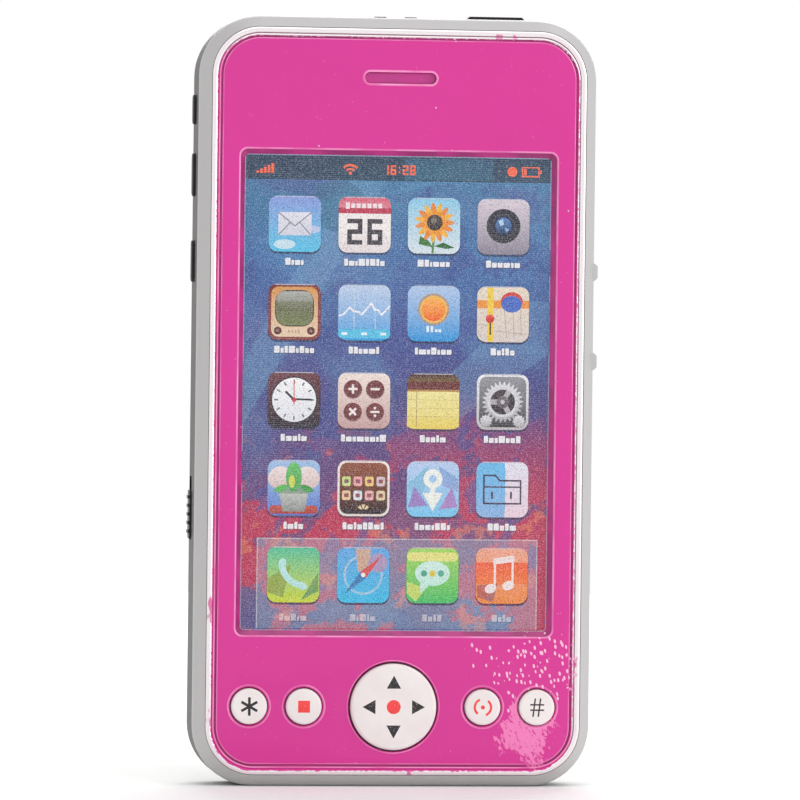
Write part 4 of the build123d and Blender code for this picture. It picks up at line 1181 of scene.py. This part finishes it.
    def clock(self) -> None:
        """Clock face with plain marks."""
        self.ground(Ink("6e3a3e", "161014"))
        self.draw.disc(3.65, Ink("2a1c20"))
        self.draw.disc(3.45, Ink("fbfafc", "e9eaf0"))
        for i in range(12):
            way = math.radians(30 * i)
            c, s = math.cos(way), math.sin(way)
            self.draw.lines([(2.65 * c, 2.65 * s), (3.0 * c, 3.0 * s)], 0.24, Ink("6a6670"))
        self.draw.lines([(0, 0), (-1.25, 1.2)], 0.34, Ink("2a2628"))
        self.draw.lines([(-0.3, 0.1), (2.6, 0.05)], 0.3, Ink("2a2628"))
        self.draw.lines([(0, -0.6), (-0.05, 3.0)], 0.16, Ink("d8453c"))
        self.draw.disc(0.36, Ink("c83a34"))

    def calculator(self) -> None:
        """Four keys of a calculator."""
        self.ground(Ink("f6e6dc", "c9a09c"))
        white = Ink("f8ece8")
        for x, z in ((-1.75, 1.8), (1.75, 1.8), (-1.75, -1.75), (1.75, -1.75)):
            self.draw.disc(1.48, Ink("b58a80", cover=0.8), (x, z - 0.1))
            self.draw.disc(1.4, Ink("7a2e28", "6a241e"), (x, z))
        self.draw.lines([(-2.3, 1.8), (-1.2, 1.8)], 0.36, white)
        self.draw.lines([(-1.75, 1.25), (-1.75, 2.35)], 0.36, white)
        self.draw.lines([(1.2, 1.8), (2.3, 1.8)], 0.36, white)
        self.draw.lines([(-2.15, -2.15), (-1.35, -1.35)], 0.36, white)
        self.draw.lines([(-2.15, -1.35), (-1.35, -2.15)], 0.36, white)
        self.draw.lines([(1.2, -1.75), (2.3, -1.75)], 0.34, white)
        for dz in (-0.6, 0.6):
            self.draw.disc(0.22, white, (1.75, -1.75 + dz))

    def notepad(self) -> None:
        """Yellow notepad with a brown head."""
        self.ground(Ink("4a140e", "eed968"))
        self.draw.box(8.2, 5.6, Ink("f4e79c", "eeda78"), (0, -1.2))
        self.draw.box(8.2, 1.4, Ink("6e2a1c"), (0, 2.35))
        self.draw.box(8.2, 0.3, Ink("b9893e"), (0, 1.65))
        self.draw.box(8.2, 2.0, Ink("eedb78", "ecd25c"), (0, -3.33), 0.95)
        self.draw.box(0.12, 5.6, Ink("b99a54"), (-2.6, -1.3))
        for z in (0.2, -1.1, -2.4):
            self.draw.box(8.0, 0.09, Ink("d9c678"), (0, z))

    def gear(self) -> None:
        """Toothed wheels in a bright frame."""
        self.ground(Ink("f0eff2", "c2bcc0"))
        self.ground(Ink("98989c", "3a3436"), 0.4)
        for middle, outer, teeth in (((-2.6, -3.0), 1.0, 12), ((2.6, -3.0), 1.0, 12), ((0, 0), 3.2, 26)):
            t = np.arange(teeth * 4) * 2 * np.pi / (teeth * 4)
            radius = np.where((np.arange(teeth * 4) % 4) < 2, outer, outer * 0.84)
            teeth = np.stack([radius * np.cos(t), radius * np.sin(t)], -1) + middle
            self.draw.put(teeth, Ink("e2e2e6", "b2aeb2"))
        self.draw.disc(2.1, Ink("4a3a3c", "2c2224"))
        for start in (60, 180, 300):
            way = math.radians(start)
            self.draw.lines([(0, 0), (1.9 * math.cos(way), 1.9 * math.sin(way))], 0.8, Ink("b5b0b4"))
        self.draw.ring(1.95, 2.4, Ink("d8d6da"))
        self.draw.disc(0.95, Ink("7a6c70", "5c5054"))
        self.draw.disc(0.35, Ink("c9c4c8"))

    def pot_plant(self) -> None:
        """White and green plant in a grey pot."""
        self.ground(Ink("a6c6ea", "5676cc"))
        self.draw.box(7.6, 1.3, Ink("c4503a", "b03a2c"), (0, -3.4), 0.6)
        self.draw.poly([(-1.7, -3.7), (1.7, -3.7), (2.3, -0.6), (-2.3, -0.6)], Ink("c6c9c2", "8f938e"))
        self.draw.box(5.2, 0.8, Ink("8aa08a"), (0, -0.5), 0.35)
        for x, turn in ((-2.2, 25), (2.2, -25)):
            self.draw.disc(1.9, Ink("f2e4e2", "e0c2bc"), (x, 1.6), 1.7, turn)
        self.draw.disc(1.25, Ink("6cc868", "4aa648"), (0, 1.7), 2.3)
        self.draw.disc(1.1, Ink("5cbc52"), (-2.0, -0.1), 0.5, 20)
        self.draw.disc(1.1, Ink("3f9c44"), (2.0, -0.1), 0.5, -20)
        self.draw.disc(0.5, Ink("d8dc50"), (-0.3, 1.0), 1.0)

    def launcher(self) -> None:
        """Shelf of tiny tiles."""
        self.ground(Ink("f6ece6", "e8dcd4"))
        self.ground(Ink("96502e", "24120e"), 0.35)
        shades = ("cfe08c", "f0a8ac", "f2cf7c", "d9c4c8", "ecc9a0", "dfe4ea", "f0b4b4", "e6d0a4")
        for i, shade in enumerate(shades):
            at = (-2.7 + 1.8 * (i % 4), 1.1 - 2.2 * (i // 4))
            self.draw.box(1.35, 1.5, Ink(shade), at, 0.3)
            self.draw.box(0.7, 0.6, Ink("8c5a4a", cover=0.7), at, 0.15)
        for start, end in ((30, 60), (75, 105), (120, 150)):
            self.draw.put(arc_band(0.35, 1.0, start, end, (0, -3.5)), Ink("ecd8a8"))

    def download(self) -> None:
        """Ring and arrow that point down."""
        self.ground(Ink("bcd0f2", "78c8f0"))
        self.draw.poly([(-4.1, 0.6), (-0.6, 3.8), (-1.2, 0.2), (-2.6, -2.4)], Ink("8fd2f2", cover=0.8))
        self.draw.poly([(-3.9, -2.9), (-2.9, 0.4), (-0.8, -2.6)], Ink("a894dc", cover=0.7))
        self.draw.poly([(1.0, -3.2), (3.0, 0.4), (3.9, -2.8)], Ink("a79ae0", cover=0.7))
        self.draw.poly([(0.9, 3.6), (4.0, 1.6), (4.0, -0.4), (1.6, 0.4)], Ink("8cbcee", cover=0.8))
        cream = Ink("f2f4ec")
        self.draw.ring(0.62, 1.5, cream, (0, 1.6))
        self.draw.box(0.8, 1.6, cream, (0, -0.4))
        self.draw.poly([(-1.6, -0.6), (0, -3.5), (1.6, -0.6)], cream)

    def folder(self) -> None:
        """Open folder, blue on one side and pale on the other."""
        self.ground(Ink("e6e4f2", "ecd2de"))
        self.draw.box(4.6, 8.7, Ink("68bcec", "8fb6e4"), (-1.8, 0), 1.4)
        self.draw.box(2.0, 8.7, Ink("68bcec", "8fb6e4"), (-0.6, 0))
        outline = Ink("3b2742")
        sides = [(-2.9, -2.2), (-2.9, 2.2), (-1.1, 2.2), (-0.4, 1.4), (2.9, 1.4), (2.9, -2.2), (-2.9, -2.2)]
        self.draw.lines(sides, 0.26, outline)
        self.draw.lines([(-2.9, 0.4), (2.9, 0.4)], 0.22, outline)
        for x in (-1.6, 1.4):
            self.draw.box(0.3, 1.1, outline, (x, -0.9))

    def handset(self) -> None:
        """Pale handset on green."""
        self.ground(Ink("4fc49c", "cedc1e"))
        self.draw.poly([(-4.1, -0.6), (-0.4, 1.6), (-1.6, -3.6), (-4.0, -2.8)], Ink("86c83c", cover=0.7))
        self.draw.poly([(1.2, -4.0), (3.9, 0.4), (3.95, -2.6)], Ink("5cb04c", cover=0.8))
        pale = Ink("c4ecec", "b4e6dc")
        self.draw.put(arc_band(2.9, 3.9, 186, 258, (1.6, 1.75)), pale)
        self.draw.disc(0.78, pale, (-1.75, 1.75), 0.6, 70)
        self.draw.disc(0.85, pale, (1.35, -1.75), 0.6, -20)

    def compass(self) -> None:
        """Compass needle on blue."""
        self.ground(Ink("64a8e6", "2fc0ea"))
        self.draw.ring(2.75, 3.1, Ink("a6daf2", cover=0.8))
        self.draw.poly([(-1.2, 4.1), (1.2, 4.1), (0.8, 0.6), (-0.8, 0.6)], Ink("e9c49c", cover=0.7))
        self.draw.disc(1.5, Ink("c9b8e0", cover=0.6), (2.3, 1.9))
        self.draw.poly([(2.9, 3.0), (-0.5, 0.4), (0.4, -0.5)], Ink("dd4a46"))
        self.draw.poly([(-3.0, -3.1), (-0.5, 0.4), (0.4, -0.5)], Ink("2f7cb4"))
        self.draw.disc(0.35, Ink("f4efe8"))

    def bubble(self) -> None:
        """Speech bubble with three dots."""
        self.ground(Ink("a8dc58", "3fc060"))
        self.draw.box(8.0, 1.4, Ink("e8e484"), (0, 2.9), 0.7)
        self.draw.poly([(-4.0, -1.0), (-1.0, -2.0), (-2.6, -4.1), (-4.0, -2.8)], Ink("c9dc6a"))
        pale = Ink("d4f2e6", "c4ecdc")
        self.draw.poly([(-1.9, -1.0), (-0.6, -1.6), (-1.9, -2.9)], pale)
        self.draw.disc(2.75, pale, (0, 0.3), 1.95)
        for x, code in ((-1.35, "4ba88c"), (0, "e0c83c"), (1.35, "4ba88c")):
            self.draw.disc(0.5, Ink(code), (x, 0.3))

    def note(self) -> None:
        """Music note on orange."""
        self.ground(Ink("f4a88c", "f08a34"))
        self.draw.box(8.2, 3.4, Ink("f2602e", "f47c34"), (0, 0.4))
        self.draw.poly([(-4.0, -1.5), (-0.6, -1.2), (-1.4, -4.1), (-3.8, -3.4)], Ink("c06a4a", cover=0.7))
        pale = Ink("f4e4e2")
        self.draw.lines([(-1.1, -2.0), (-1.1, 2.6), (1.7, 3.0), (1.7, -1.4)], 0.34, pale)
        self.draw.lines([(-1.1, 2.1), (1.7, 2.5)], 0.6, pale)
        self.draw.disc(0.95, pale, (-1.75, -2.0), 0.72, 20)
        self.draw.disc(0.95, pale, (1.05, -1.5), 0.72, 20)


# ---------------------------------------------------------------------- pieces


SMALL_KEYS = ("star_key", "stop_key", "talk_key", "hash_key")


def dress(piece: bpy.types.Object, finish: Finish) -> None:
    """Gives an object one finish."""
    piece.data.materials.clear()
    piece.data.materials.append(finish.material())


def settle(piece: bpy.types.Object, body: str, node: str, finish: Finish) -> None:
    """Ties a new piece to its body, hides its CAD node, and gives it its finish."""
    dress(piece, finish)
    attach(piece, body)
    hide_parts(node)
    LOG.info("%s: %d faces, rides on %s", piece.name, len(piece.data.polygons), body)


def over(code: str, *shares: float) -> tuple[Ink, ...]:
    """One ink for each share, covering that much."""
    return tuple(Ink(code, cover=share) for share in shares)


# Painted highlight (light pink) and painted shade (dark magenta): inks laid strip by strip over the
# faceplate's raised edges and over its grooves, walls and recesses.
PAINTED_HIGHLIGHT, PAINTED_SHADE = "ffa6d8", "7a1656"
MOUTH_HIGHLIGHT_AND_SHADE = over(PAINTED_HIGHLIGHT, 0.75, 0.55, 0.2) + over(PAINTED_SHADE, 0.1, 0.3, 0.5, 0.72)


@dataclass
class Faceplate:
    """Plated plate: two beads, a groove, the painted face, the window, the key holes and the blind ear slot.

    Painted highlights lighten the raised edges, and painted shade darkens the grooves and the walls.
    """

    corner: float = 7.55
    bead_one: tuple[float, float] = (0.0, 0.9)
    bead_two: tuple[float, float] = (1.03, 1.35)
    groove: tuple[float, float] = (1.37, 1.6)
    shoulder: float = 0.25
    rise: float = 0.15
    window: tuple[float, float, float] = (49.6, 75.5, 1.1)
    window_lip: float = 0.32
    bevel: float = 0.7
    key_hole: tuple[float, float] = (2.92, 0.5)
    pad_hole: tuple[float, float] = (7.0, 0.3)
    slot: tuple[float, float] = (11.2, 1.7)
    slot_depth: float = 0.6
    slot_drop: float = 7.65
    pin: float = 0.9
    pin_inset: tuple[float, float] = (1.6, 3.6)
    bead_heights: tuple[float, float] = (0.24, 0.17)
    bead_drop: float = 0.05
    groove_depths: tuple[float, float] = (0.24, 0.26)
    skirt: float = 0.6
    card_gap: float = 0.03
    seat_play: float = 0.2
    seat_radius: float = 0.8
    pin_tip: float = 0.15
    corner_steps: int = 24
    bare_strips: int = 15

    def rim(self, shell: Shell, box: Extent) -> Loop:
        """Sweeps the rim's profile round the plate and returns the outline where the painted face begins."""
        crown = box.low[1]
        face = crown + self.rise
        back = self.back
        shoulder = bend((self.groove[1], face + self.shoulder), (self.groove[1] + self.shoulder, face), False)
        profile = np.concatenate([
            [(0.0, back), (0.0, crown + self.skirt)],
            bead(*self.bead_one, crown, self.bead_heights[0]),
            bead(*self.bead_two, crown + self.bead_drop, self.bead_heights[1]),
            [(self.groove[0], face + self.groove_depths[0]), (self.groove[1], face + self.groove_depths[1])],
            shoulder,
        ])
        width, height = box.size[0], box.size[2]
        inset, depth = profile.T
        stations = np.stack([width - 2 * inset, height - 2 * inset, self.corner - inset, depth], -1)
        # Painted highlight on the inner bead's crown and on the shoulder; painted shade in the groove.
        beads = over(PAINTED_HIGHLIGHT, *[0.0] * self.bare_strips, 0.2, 0.55, 0.8, 0.8, 0.55, 0.2, 0.0, 0.0)
        paint = beads + over(PAINTED_SHADE, 0.5, 0.75, 0.75, 0.6, 0.3) + over(PAINTED_HIGHLIGHT, 0.3, 0.6, 0.6, 0.3, 0.1)
        shell.frame(stations, box.face_middle, self.corner_steps, paint)
        last = stations[-1]
        return rounded(*last[:3], box.face_middle, self.corner_steps)

    def opening(self, shell: Shell, card: Extent, face: float) -> tuple[Loop, Loop]:
        """Sweeps the window's wall and the card's seat, and returns their outlines on face and back."""
        width, height, radius = self.window
        lip = bend((-self.window_lip, face), (0.0, face + self.window_lip), True)
        foot = card.low[1] - self.card_gap
        wall = np.concatenate([lip, [(self.bevel, foot)]])
        inset, depth = wall.T
        stations = np.stack([width - 2 * inset, height - 2 * inset, radius - inset * 0.6, depth], -1)
        seat = (card.size[0] + self.seat_play, card.size[2] + self.seat_play, self.seat_radius)
        stations = np.vstack([stations, [(*seat, foot), (*seat, self.back)]])
        # Painted highlight along the window's lip; painted shade down its wall.
        paint = over(PAINTED_HIGHLIGHT, 0.5, 0.75, 0.75, 0.6, 0.2) + over(PAINTED_SHADE, 0.5, 0.72)
        shell.frame(stations, card.face_middle, inks=paint)
        return rounded(*stations[0, :3], card.face_middle), rounded(*seat, card.face_middle)

    def hole(
        self, shell: Shell, size: tuple[float, float], at: tuple[float, float], face: float
    ) -> tuple[Loop, Loop]:
        """Turns a key hole with a rounded mouth, and returns its outlines on the face and on the back."""
        radius, lip = size
        mouth = bend((radius + lip, face), (radius, face + lip), True)
        # Painted highlight round the mouth's rim; painted shade down the hole's wall.
        shell.lathe(np.vstack([mouth, [(radius, self.back)]]), at, inks=MOUTH_HIGHLIGHT_AND_SHADE)
        return oval(mouth[0, 0], mouth[0, 0], at, 64), oval(radius, radius, at, 64)

    def ear_slot(self, shell: Shell, at: tuple[float, float], face: float) -> Loop:
        """Sweeps the slot's raised lip and its blind wall, and returns its outline on the face."""
        length, width = self.slot
        profile = np.concatenate([
            bend((-0.42, face), (-0.28, face - 0.08), True, 3),
            bend((-0.14, face - 0.08), (0.0, face + 0.08), True, 4),
            [(0.06, face + self.slot_depth - 0.12)],
            bend((0.07, face + self.slot_depth - 0.1), (0.2, face + self.slot_depth), False, 3),
        ])
        inset, depth = profile.T
        size = np.stack([length - 2 * inset, width - 2 * inset, width / 2 - inset - 0.001], -1)
        # Painted highlight on the raised lip; painted shade down the blind wall.
        paint = over(PAINTED_HIGHLIGHT, 0.2, 0.6, 0.85, 0.85, 0.85, 0.7, 0.3) + over(PAINTED_SHADE, 0.3, 0.85, 0.8, 0.7, 0.5, 0.4)
        shell.frame(np.column_stack([size, depth]), at, inks=paint)
        # Darker pink on the slot's floor: painted shade in the recess.
        shell.flat([Shape(rounded(*size[-1], at), Ink("b0408c", cover=0.55))], float(depth[-1]))
        return rounded(*size[0], at)

    def build(self) -> bpy.types.Object:
        """Builds the whole plate as one closed shell."""
        box, card = Extent.of("faceplate"), Extent.of("picture_card")
        self.back = float(card.high[1])
        face = float(box.low[1]) + self.rise
        shell = Shell()
        front = [Shape(self.rim(shell, box), BARE)]
        edge = rounded(box.size[0], box.size[2], self.corner, box.face_middle, self.corner_steps)
        rear = [Shape(edge, BARE)]
        loops = [self.opening(shell, card, face)]
        for name in SMALL_KEYS:
            loops.append(self.hole(shell, self.key_hole, Extent.of(name).face_middle, face))
        loops.append(self.hole(shell, self.pad_hole, Extent.of("navigation_key").face_middle, face))
        front += [Shape(loop, None) for loop, _ in loops]
        rear += [Shape(loop, None) for _, loop in loops]
        front.append(Shape(self.ear_slot(shell, (0.0, float(box.high[2]) - self.slot_drop), face), None))
        for at in self.pin_places(box, card):
            tip = float(box.high[1])
            end = bend((self.pin, tip - self.pin_tip), (self.pin - self.pin_tip, tip), False, 3)
            profile = np.vstack([[(self.pin, self.back)], end])
            shell.lathe(profile, at, 24)
            shell.flat([Shape(oval(profile[-1, 0], profile[-1, 0], at, 24), BARE)], tip)
            rear.append(Shape(oval(self.pin, self.pin, at, 24), None))
        shell.flat(front, face)
        shell.flat(rear, self.back)
        return shell.build("painted_faceplate", 30)

    def pin_places(self, box: Extent, card: Extent) -> list[tuple[float, float]]:
        """Places of the four pins, beside the window's ends."""
        across = box.size[0] / 2 - self.groove[1] - 0.05 - self.pin_inset[0]
        half = self.window[1] / 2 + self.pin_inset[1]
        middle = float(card.middle[2])
        return [(side * across, middle + end * half) for side in (-1, 1) for end in (-1, 1)]


@dataclass
class PictureCard:
    """Lens card whose front is cut along every printed outline."""

    corner: float = 0.7
    bevel: float = 0.7
    window: tuple[float, float] = (49.6, 75.5)

    def build(self) -> bpy.types.Object:
        """Builds the card as a thin closed slab."""
        box = Extent.of("picture_card")
        width, height = self.window[0] - 2 * self.bevel, self.window[1] - 2 * self.bevel
        low = float(box.middle[2]) - height / 2
        edge = rounded(box.size[0], box.size[2], self.corner, box.face_middle)
        shapes = [
            Shape(edge, Ink("c9ccd8")),
            # Thin light band round the picture's visible edge: a painted highlight where the window's wall
            # meets the card.
            Shape(rounded(width + 0.3, height + 0.3, 0.5, box.face_middle), Ink("c3c8de", cover=0.5)),
            Shape(rounded(width - 0.3, height - 0.3, 0.5, box.face_middle), BARE),
            *IconSheet(low + 0.15, height - 0.3).shapes(),
        ]
        paper = Ink("d9d7d0")
        shell = Shell()
        shell.flat(shapes, float(box.low[1]))
        shell.frame(np.array([(box.size[0], box.size[2], self.corner, d) for d in (box.low[1], box.high[1])]),
                    box.face_middle, inks=(paper,))
        shell.flat([Shape(edge, paper)], float(box.high[1]))
        return shell.build("lens_picture")


class Sign(Enum):
    """Signs printed on the keys."""

    STAR = "star_key"
    STOP = "stop_key"
    TALK = "talk_key"
    HASH = "hash_key"
    ARROWS = "navigation_key"

    def draw(self, drawing: Drawing) -> None:
        """Draws the sign about the key's middle."""
        black, red = Ink("262022"), Ink("fb4a4c", "f2403f")
        if self is Sign.STAR:
            for turn in range(3):
                way = math.radians(90 + 60 * turn)
                reach = np.array([math.cos(way), math.sin(way)]) * 1.22
                drawing.lines([-reach, reach], 0.42, black)
        elif self is Sign.STOP:
            drawing.box(1.87, 1.87, red)
        elif self is Sign.TALK:
            drawing.put(arc_band(1.1, 1.47, 112, 232), red)
            drawing.put(arc_band(1.1, 1.47, 292, 412), red)
            drawing.disc(0.33, red)
        elif self is Sign.HASH:
            for side in (-0.42, 0.42):
                drawing.lines([(side - 0.2, -1.32), (side + 0.12, 1.32)], 0.24, black)
                drawing.lines([(-0.95, side + 0.02), (1.0, side + 0.02)], 0.24, black)
        else:
            for turn in (0, 90, 180, 270):
                drawing.put(turned(np.array([(2.87, -1.12), (4.9, 0.0), (2.87, 1.12)]), turn), black)
            drawing.disc(1.1, red)


@dataclass
class Key:
    """Round key: cap with its printed sign, flange, and foot or hollow with a post."""

    sign: Sign
    radius: float = 2.8
    edge: float = 0.38
    flange: float = 3.85
    flange_depth: float = -3.30
    flange_thick: float = 0.8
    foot: float = 2.0
    hollow: float = 0.0
    roof: float = 1.4
    tip: float = 0.12

    def profile(self, box: Extent) -> np.ndarray:
        """Radius and depth from the rim of the flat top to the last small ring of the foot."""
        top, end = float(box.low[1]), float(box.high[1])
        under = self.flange_depth + self.flange_thick
        rows = [
            bend((self.radius - self.edge, top), (self.radius, top + self.edge), True),
            [(self.radius, self.flange_depth), (self.flange, self.flange_depth), (self.flange, under)],
        ]
        if self.hollow:
            roof = top + self.roof
            rows.append([(self.hollow, under), (self.hollow, roof), (self.foot, roof)])
            rows.append(bend((self.foot, end - self.foot), (self.tip, end), False, 8))
        else:
            rows.append([(self.foot, under), (self.foot, end)])
        return np.concatenate(rows)

    def build(self) -> bpy.types.Object:
        """Turns the key and cuts its top along the sign's outlines."""
        box = Extent.of(self.sign.value)
        profile = self.profile(box)
        middle = box.face_middle
        shell = Shell()
        steps = 96 if self.hollow else 64
        shell.lathe(profile, middle, steps)
        top = Drawing([Shape(oval(profile[0, 0], profile[0, 0], middle, steps), BARE)], middle)
        self.sign.draw(top)
        shell.flat(top.shapes, float(profile[0, 1]))
        shell.flat([Shape(oval(profile[-1, 0], profile[-1, 0], middle, steps), BARE)], float(profile[-1, 1]))
        return shell.build(f"printed_{self.sign.value}")


# ---------------------------------------------------------------------- carried-over parts

FINE_WAYS = {"across": (9000.0, 9000.0, 300.0), "up": (300.0, 9000.0, 9000.0)}

FINISHES: dict[str, Finish] = {
    "silver_paint": SilverPaint("silver_paint"),
    "tape": Moulded("foam_tape", "c9c6bb", "dad8cf", 0.9, 2500.0, 0.00004, 0.4),
    "silicone": Moulded("silicone_rubber", "a3a7a9", "b6b9ba", 0.45, 1500.0, 0.000012, 0.9, through=0.3),
    "carbon": Moulded("carbon_rubber", "1a1a1a", "262626", 0.6, 3500.0, 0.00002, 0.3),
    "board": SolderMask("solder_mask"),
    "steel": Brushed("zinc_plated_steel", "9d9c98", "c6c5c2", 0.28, FINE_WAYS["across"]),
    "resin": Moulded("chip_resin", "0c0c0c", "1a1a1a", 0.32, 900.0, 0.00006, 0.5, coat=0.3),
    "resistor": Moulded("resistor_ceramic", "1c1c22", "2c2c34", 0.4, 3000.0, 0.00001, 0.3),
    "can": Brushed("capacitor_can", "27366a", "3c4f8c", 0.35, FINE_WAYS["up"]),
    "led": Moulded("lamp_lens", "e6dfae", "f2ecc4", 0.25, 1800.0, 0.000008, 0.3, through=0.4),
    "black_plastic": Moulded("black_shell", "1d1c1c", "282626", 0.42, 5200.0, 0.000022, 0.8, gloss=0.3),
    "cell": Brushed("nickel_cell", "a8a69f", "cfcdc8", 0.22, FINE_WAYS["across"]),
    "contact": Brushed("spring_contact", "aca692", "cfcaba", 0.25, FINE_WAYS["up"]),
    "foam": Moulded("gasket_foam", "161616", "242424", 0.95, 1600.0, 0.0001, 0.2),
    "magnet": Brushed("magnet_cup", "6a6a6c", "8f8f92", 0.35, FINE_WAYS["across"]),
    "film": Moulded("speaker_film", "8c8258", "b2a87c", 0.25, 1200.0, 0.00002, 0.6),
    "red_lead": Moulded("red_insulation", "a81614", "c22420", 0.35, 2500.0, 0.000008, 0.5),
    "black_lead": Moulded("black_insulation", "141414", "222222", 0.35, 2500.0, 0.000008, 0.5),
}
PAINTED_PLATE = PlatedPaint("pink_over_plating")
LENS = LensPicture("lens_print")
KEY_PLASTIC = PrintedPlastic("white_key_plastic")


def dress_carried(frame: dict[str, Any]) -> None:
    """Gives every CAD node that is still shown the finish of its slot.

    Args:
        frame: What the frame returned when it was loaded.
    """
    slots = {part["node"]: part["material_slot"] for part in frame["record"]["subparts"]}
    for name, node in frame["nodes"].items():
        finish = FINISHES.get(slots[name])
        if finish is not None:
            dress(node, finish)
            LOG.info("%s: carried over in %s", name, finish.name)


# ---------------------------------------------------------------------- studio


@dataclass
class Studio:
    """Pale floor, soft lights and the camera."""

    azimuth: float = -7.3
    elevation: float = 0.5
    roll: float = 0.69
    distance: float = 0.9
    lens: float = 258.0
    aim: tuple[float, float, float] = (0.00130, 0.0, 0.0603)
    lit_middle: tuple[float, float, float] = (0.0, 0.0, 0.06)
    ambient: float = 0.64
    lights: tuple[tuple[str, tuple[float, float, float], float, float], ...] = (
        ("key_light", (0.9, -0.65, 0.4), 0.7, 3.6),
        ("top_light", (0.1, -0.5, 0.95), 0.9, 1.8),
        ("fill_light", (-0.8, -0.8, 0.45), 0.9, 0.35),
        ("back_light", (0.2, 0.9, 0.7), 0.9, 8.0),
    )

    def floor(self) -> bpy.types.Object:
        """Wide floor with a slow swell, as a grid whose height is a product of two sines of a few microns."""
        side = np.linspace(-0.7, 0.7, 25)
        x, y = np.meshgrid(side, side, indexing="ij")
        z = -0.00002 - 0.000005 * (1 + np.sin(4 * x) * np.sin(4 * y))
        index = np.arange(x.size).reshape(x.shape)
        quads = np.stack([index[:-1, :-1], index[1:, :-1], index[1:, 1:], index[:-1, 1:]], -1).reshape(-1, 4)
        mesh = bpy.data.meshes.new("floor")
        mesh.from_pydata(np.stack([x, y, z], -1).reshape(-1, 3).tolist(), [], quads.tolist())
        made = bpy.data.objects.new("floor", mesh)
        bpy.context.scene.collection.objects.link(made)
        dress(made, Moulded("floor_paper", "fbfbfa", "fefefd", 0.9, 300.0, 0.00002, 0.0))
        made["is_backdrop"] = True
        return made

    def light(self, name: str, at: Sequence[float], size: float, power: float) -> None:
        """Adds a square soft light that faces the phone's middle."""
        lamp = bpy.data.lights.new(name, "AREA")
        lamp.shape, lamp.size, lamp.energy = "SQUARE", size, power
        made = bpy.data.objects.new(name, lamp)
        made.location = at
        made.rotation_euler = (Vector(self.lit_middle) - Vector(at)).to_track_quat("-Z", "Y").to_euler()
        bpy.context.scene.collection.objects.link(made)

    def world(self) -> None:
        """White surroundings, which light the object somewhat less than they shine in its gloss."""
        world = bpy.data.worlds.new("studio")
        bpy.context.scene.world = world
        world.use_nodes = True
        graph = Graph(world.node_tree)
        path = graph.node("LightPath").outputs
        seen = graph.math("MAXIMUM", path["Is Camera Ray"], path["Is Glossy Ray"])
        strength = graph.between(seen, self.ambient, 1.0)
        back = graph.node("Background", {"Color": (1, 1, 1, 1), "Strength": strength})
        graph.node("OutputWorld", {0: back.outputs[0]})

    def camera(self) -> None:
        """Long lens that looks at the face from slightly to the left."""
        a, e = math.radians(self.azimuth), math.radians(self.elevation)
        back = Vector((math.sin(a) * math.cos(e), -math.cos(a) * math.cos(e), math.sin(e)))
        data = bpy.data.cameras.new("camera")
        data.lens, data.sensor_width = self.lens, 36.0
        made = bpy.data.objects.new("camera", data)
        made.location = Vector(self.aim) + back * self.distance
        turn = (-back).to_track_quat("-Z", "Y") @ Euler((0, 0, math.radians(self.roll))).to_quaternion()
        made.rotation_euler = turn.to_euler()
        bpy.context.scene.collection.objects.link(made)
        bpy.context.scene.camera = made

    def build(self) -> None:
        """Sets up everything round the object."""
        self.world()
        self.floor()
        for settings in self.lights:
            self.light(*settings)
        self.camera()
        bpy.context.scene.view_settings.view_transform = "Standard"


def corners(box: tuple[Vector, Vector]) -> list[list[float]]:
    """Box as plain lists."""
    return [list(corner) for corner in box]


def main() -> None:
    """Loads the frame, builds each sub-assembly, dresses the rest and sets up the studio."""
    logging.basicConfig(level=logging.INFO, format="%(message)s")
    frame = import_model()
    cad = corners(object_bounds())
    settle(Faceplate().build(), "phone", "faceplate", PAINTED_PLATE)
    settle(PictureCard().build(), "phone", "picture_card", LENS)
    for sign in (Sign.STAR, Sign.STOP, Sign.TALK, Sign.HASH):
        settle(Key(sign).build(), sign.value, sign.value, KEY_PLASTIC)
    pad = Key(
        Sign.ARROWS, radius=6.75, edge=0.52, flange=7.92, flange_depth=-2.80, flange_thick=0.6, foot=1.8,
        hollow=5.55,
    )
    settle(pad.build(), "navigation_key", "navigation_key", KEY_PLASTIC)
    dress_carried(frame)
    Studio().build()
    {"cad": cad, "visual": corners(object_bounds())}


if __name__ == "__main__":
    main()
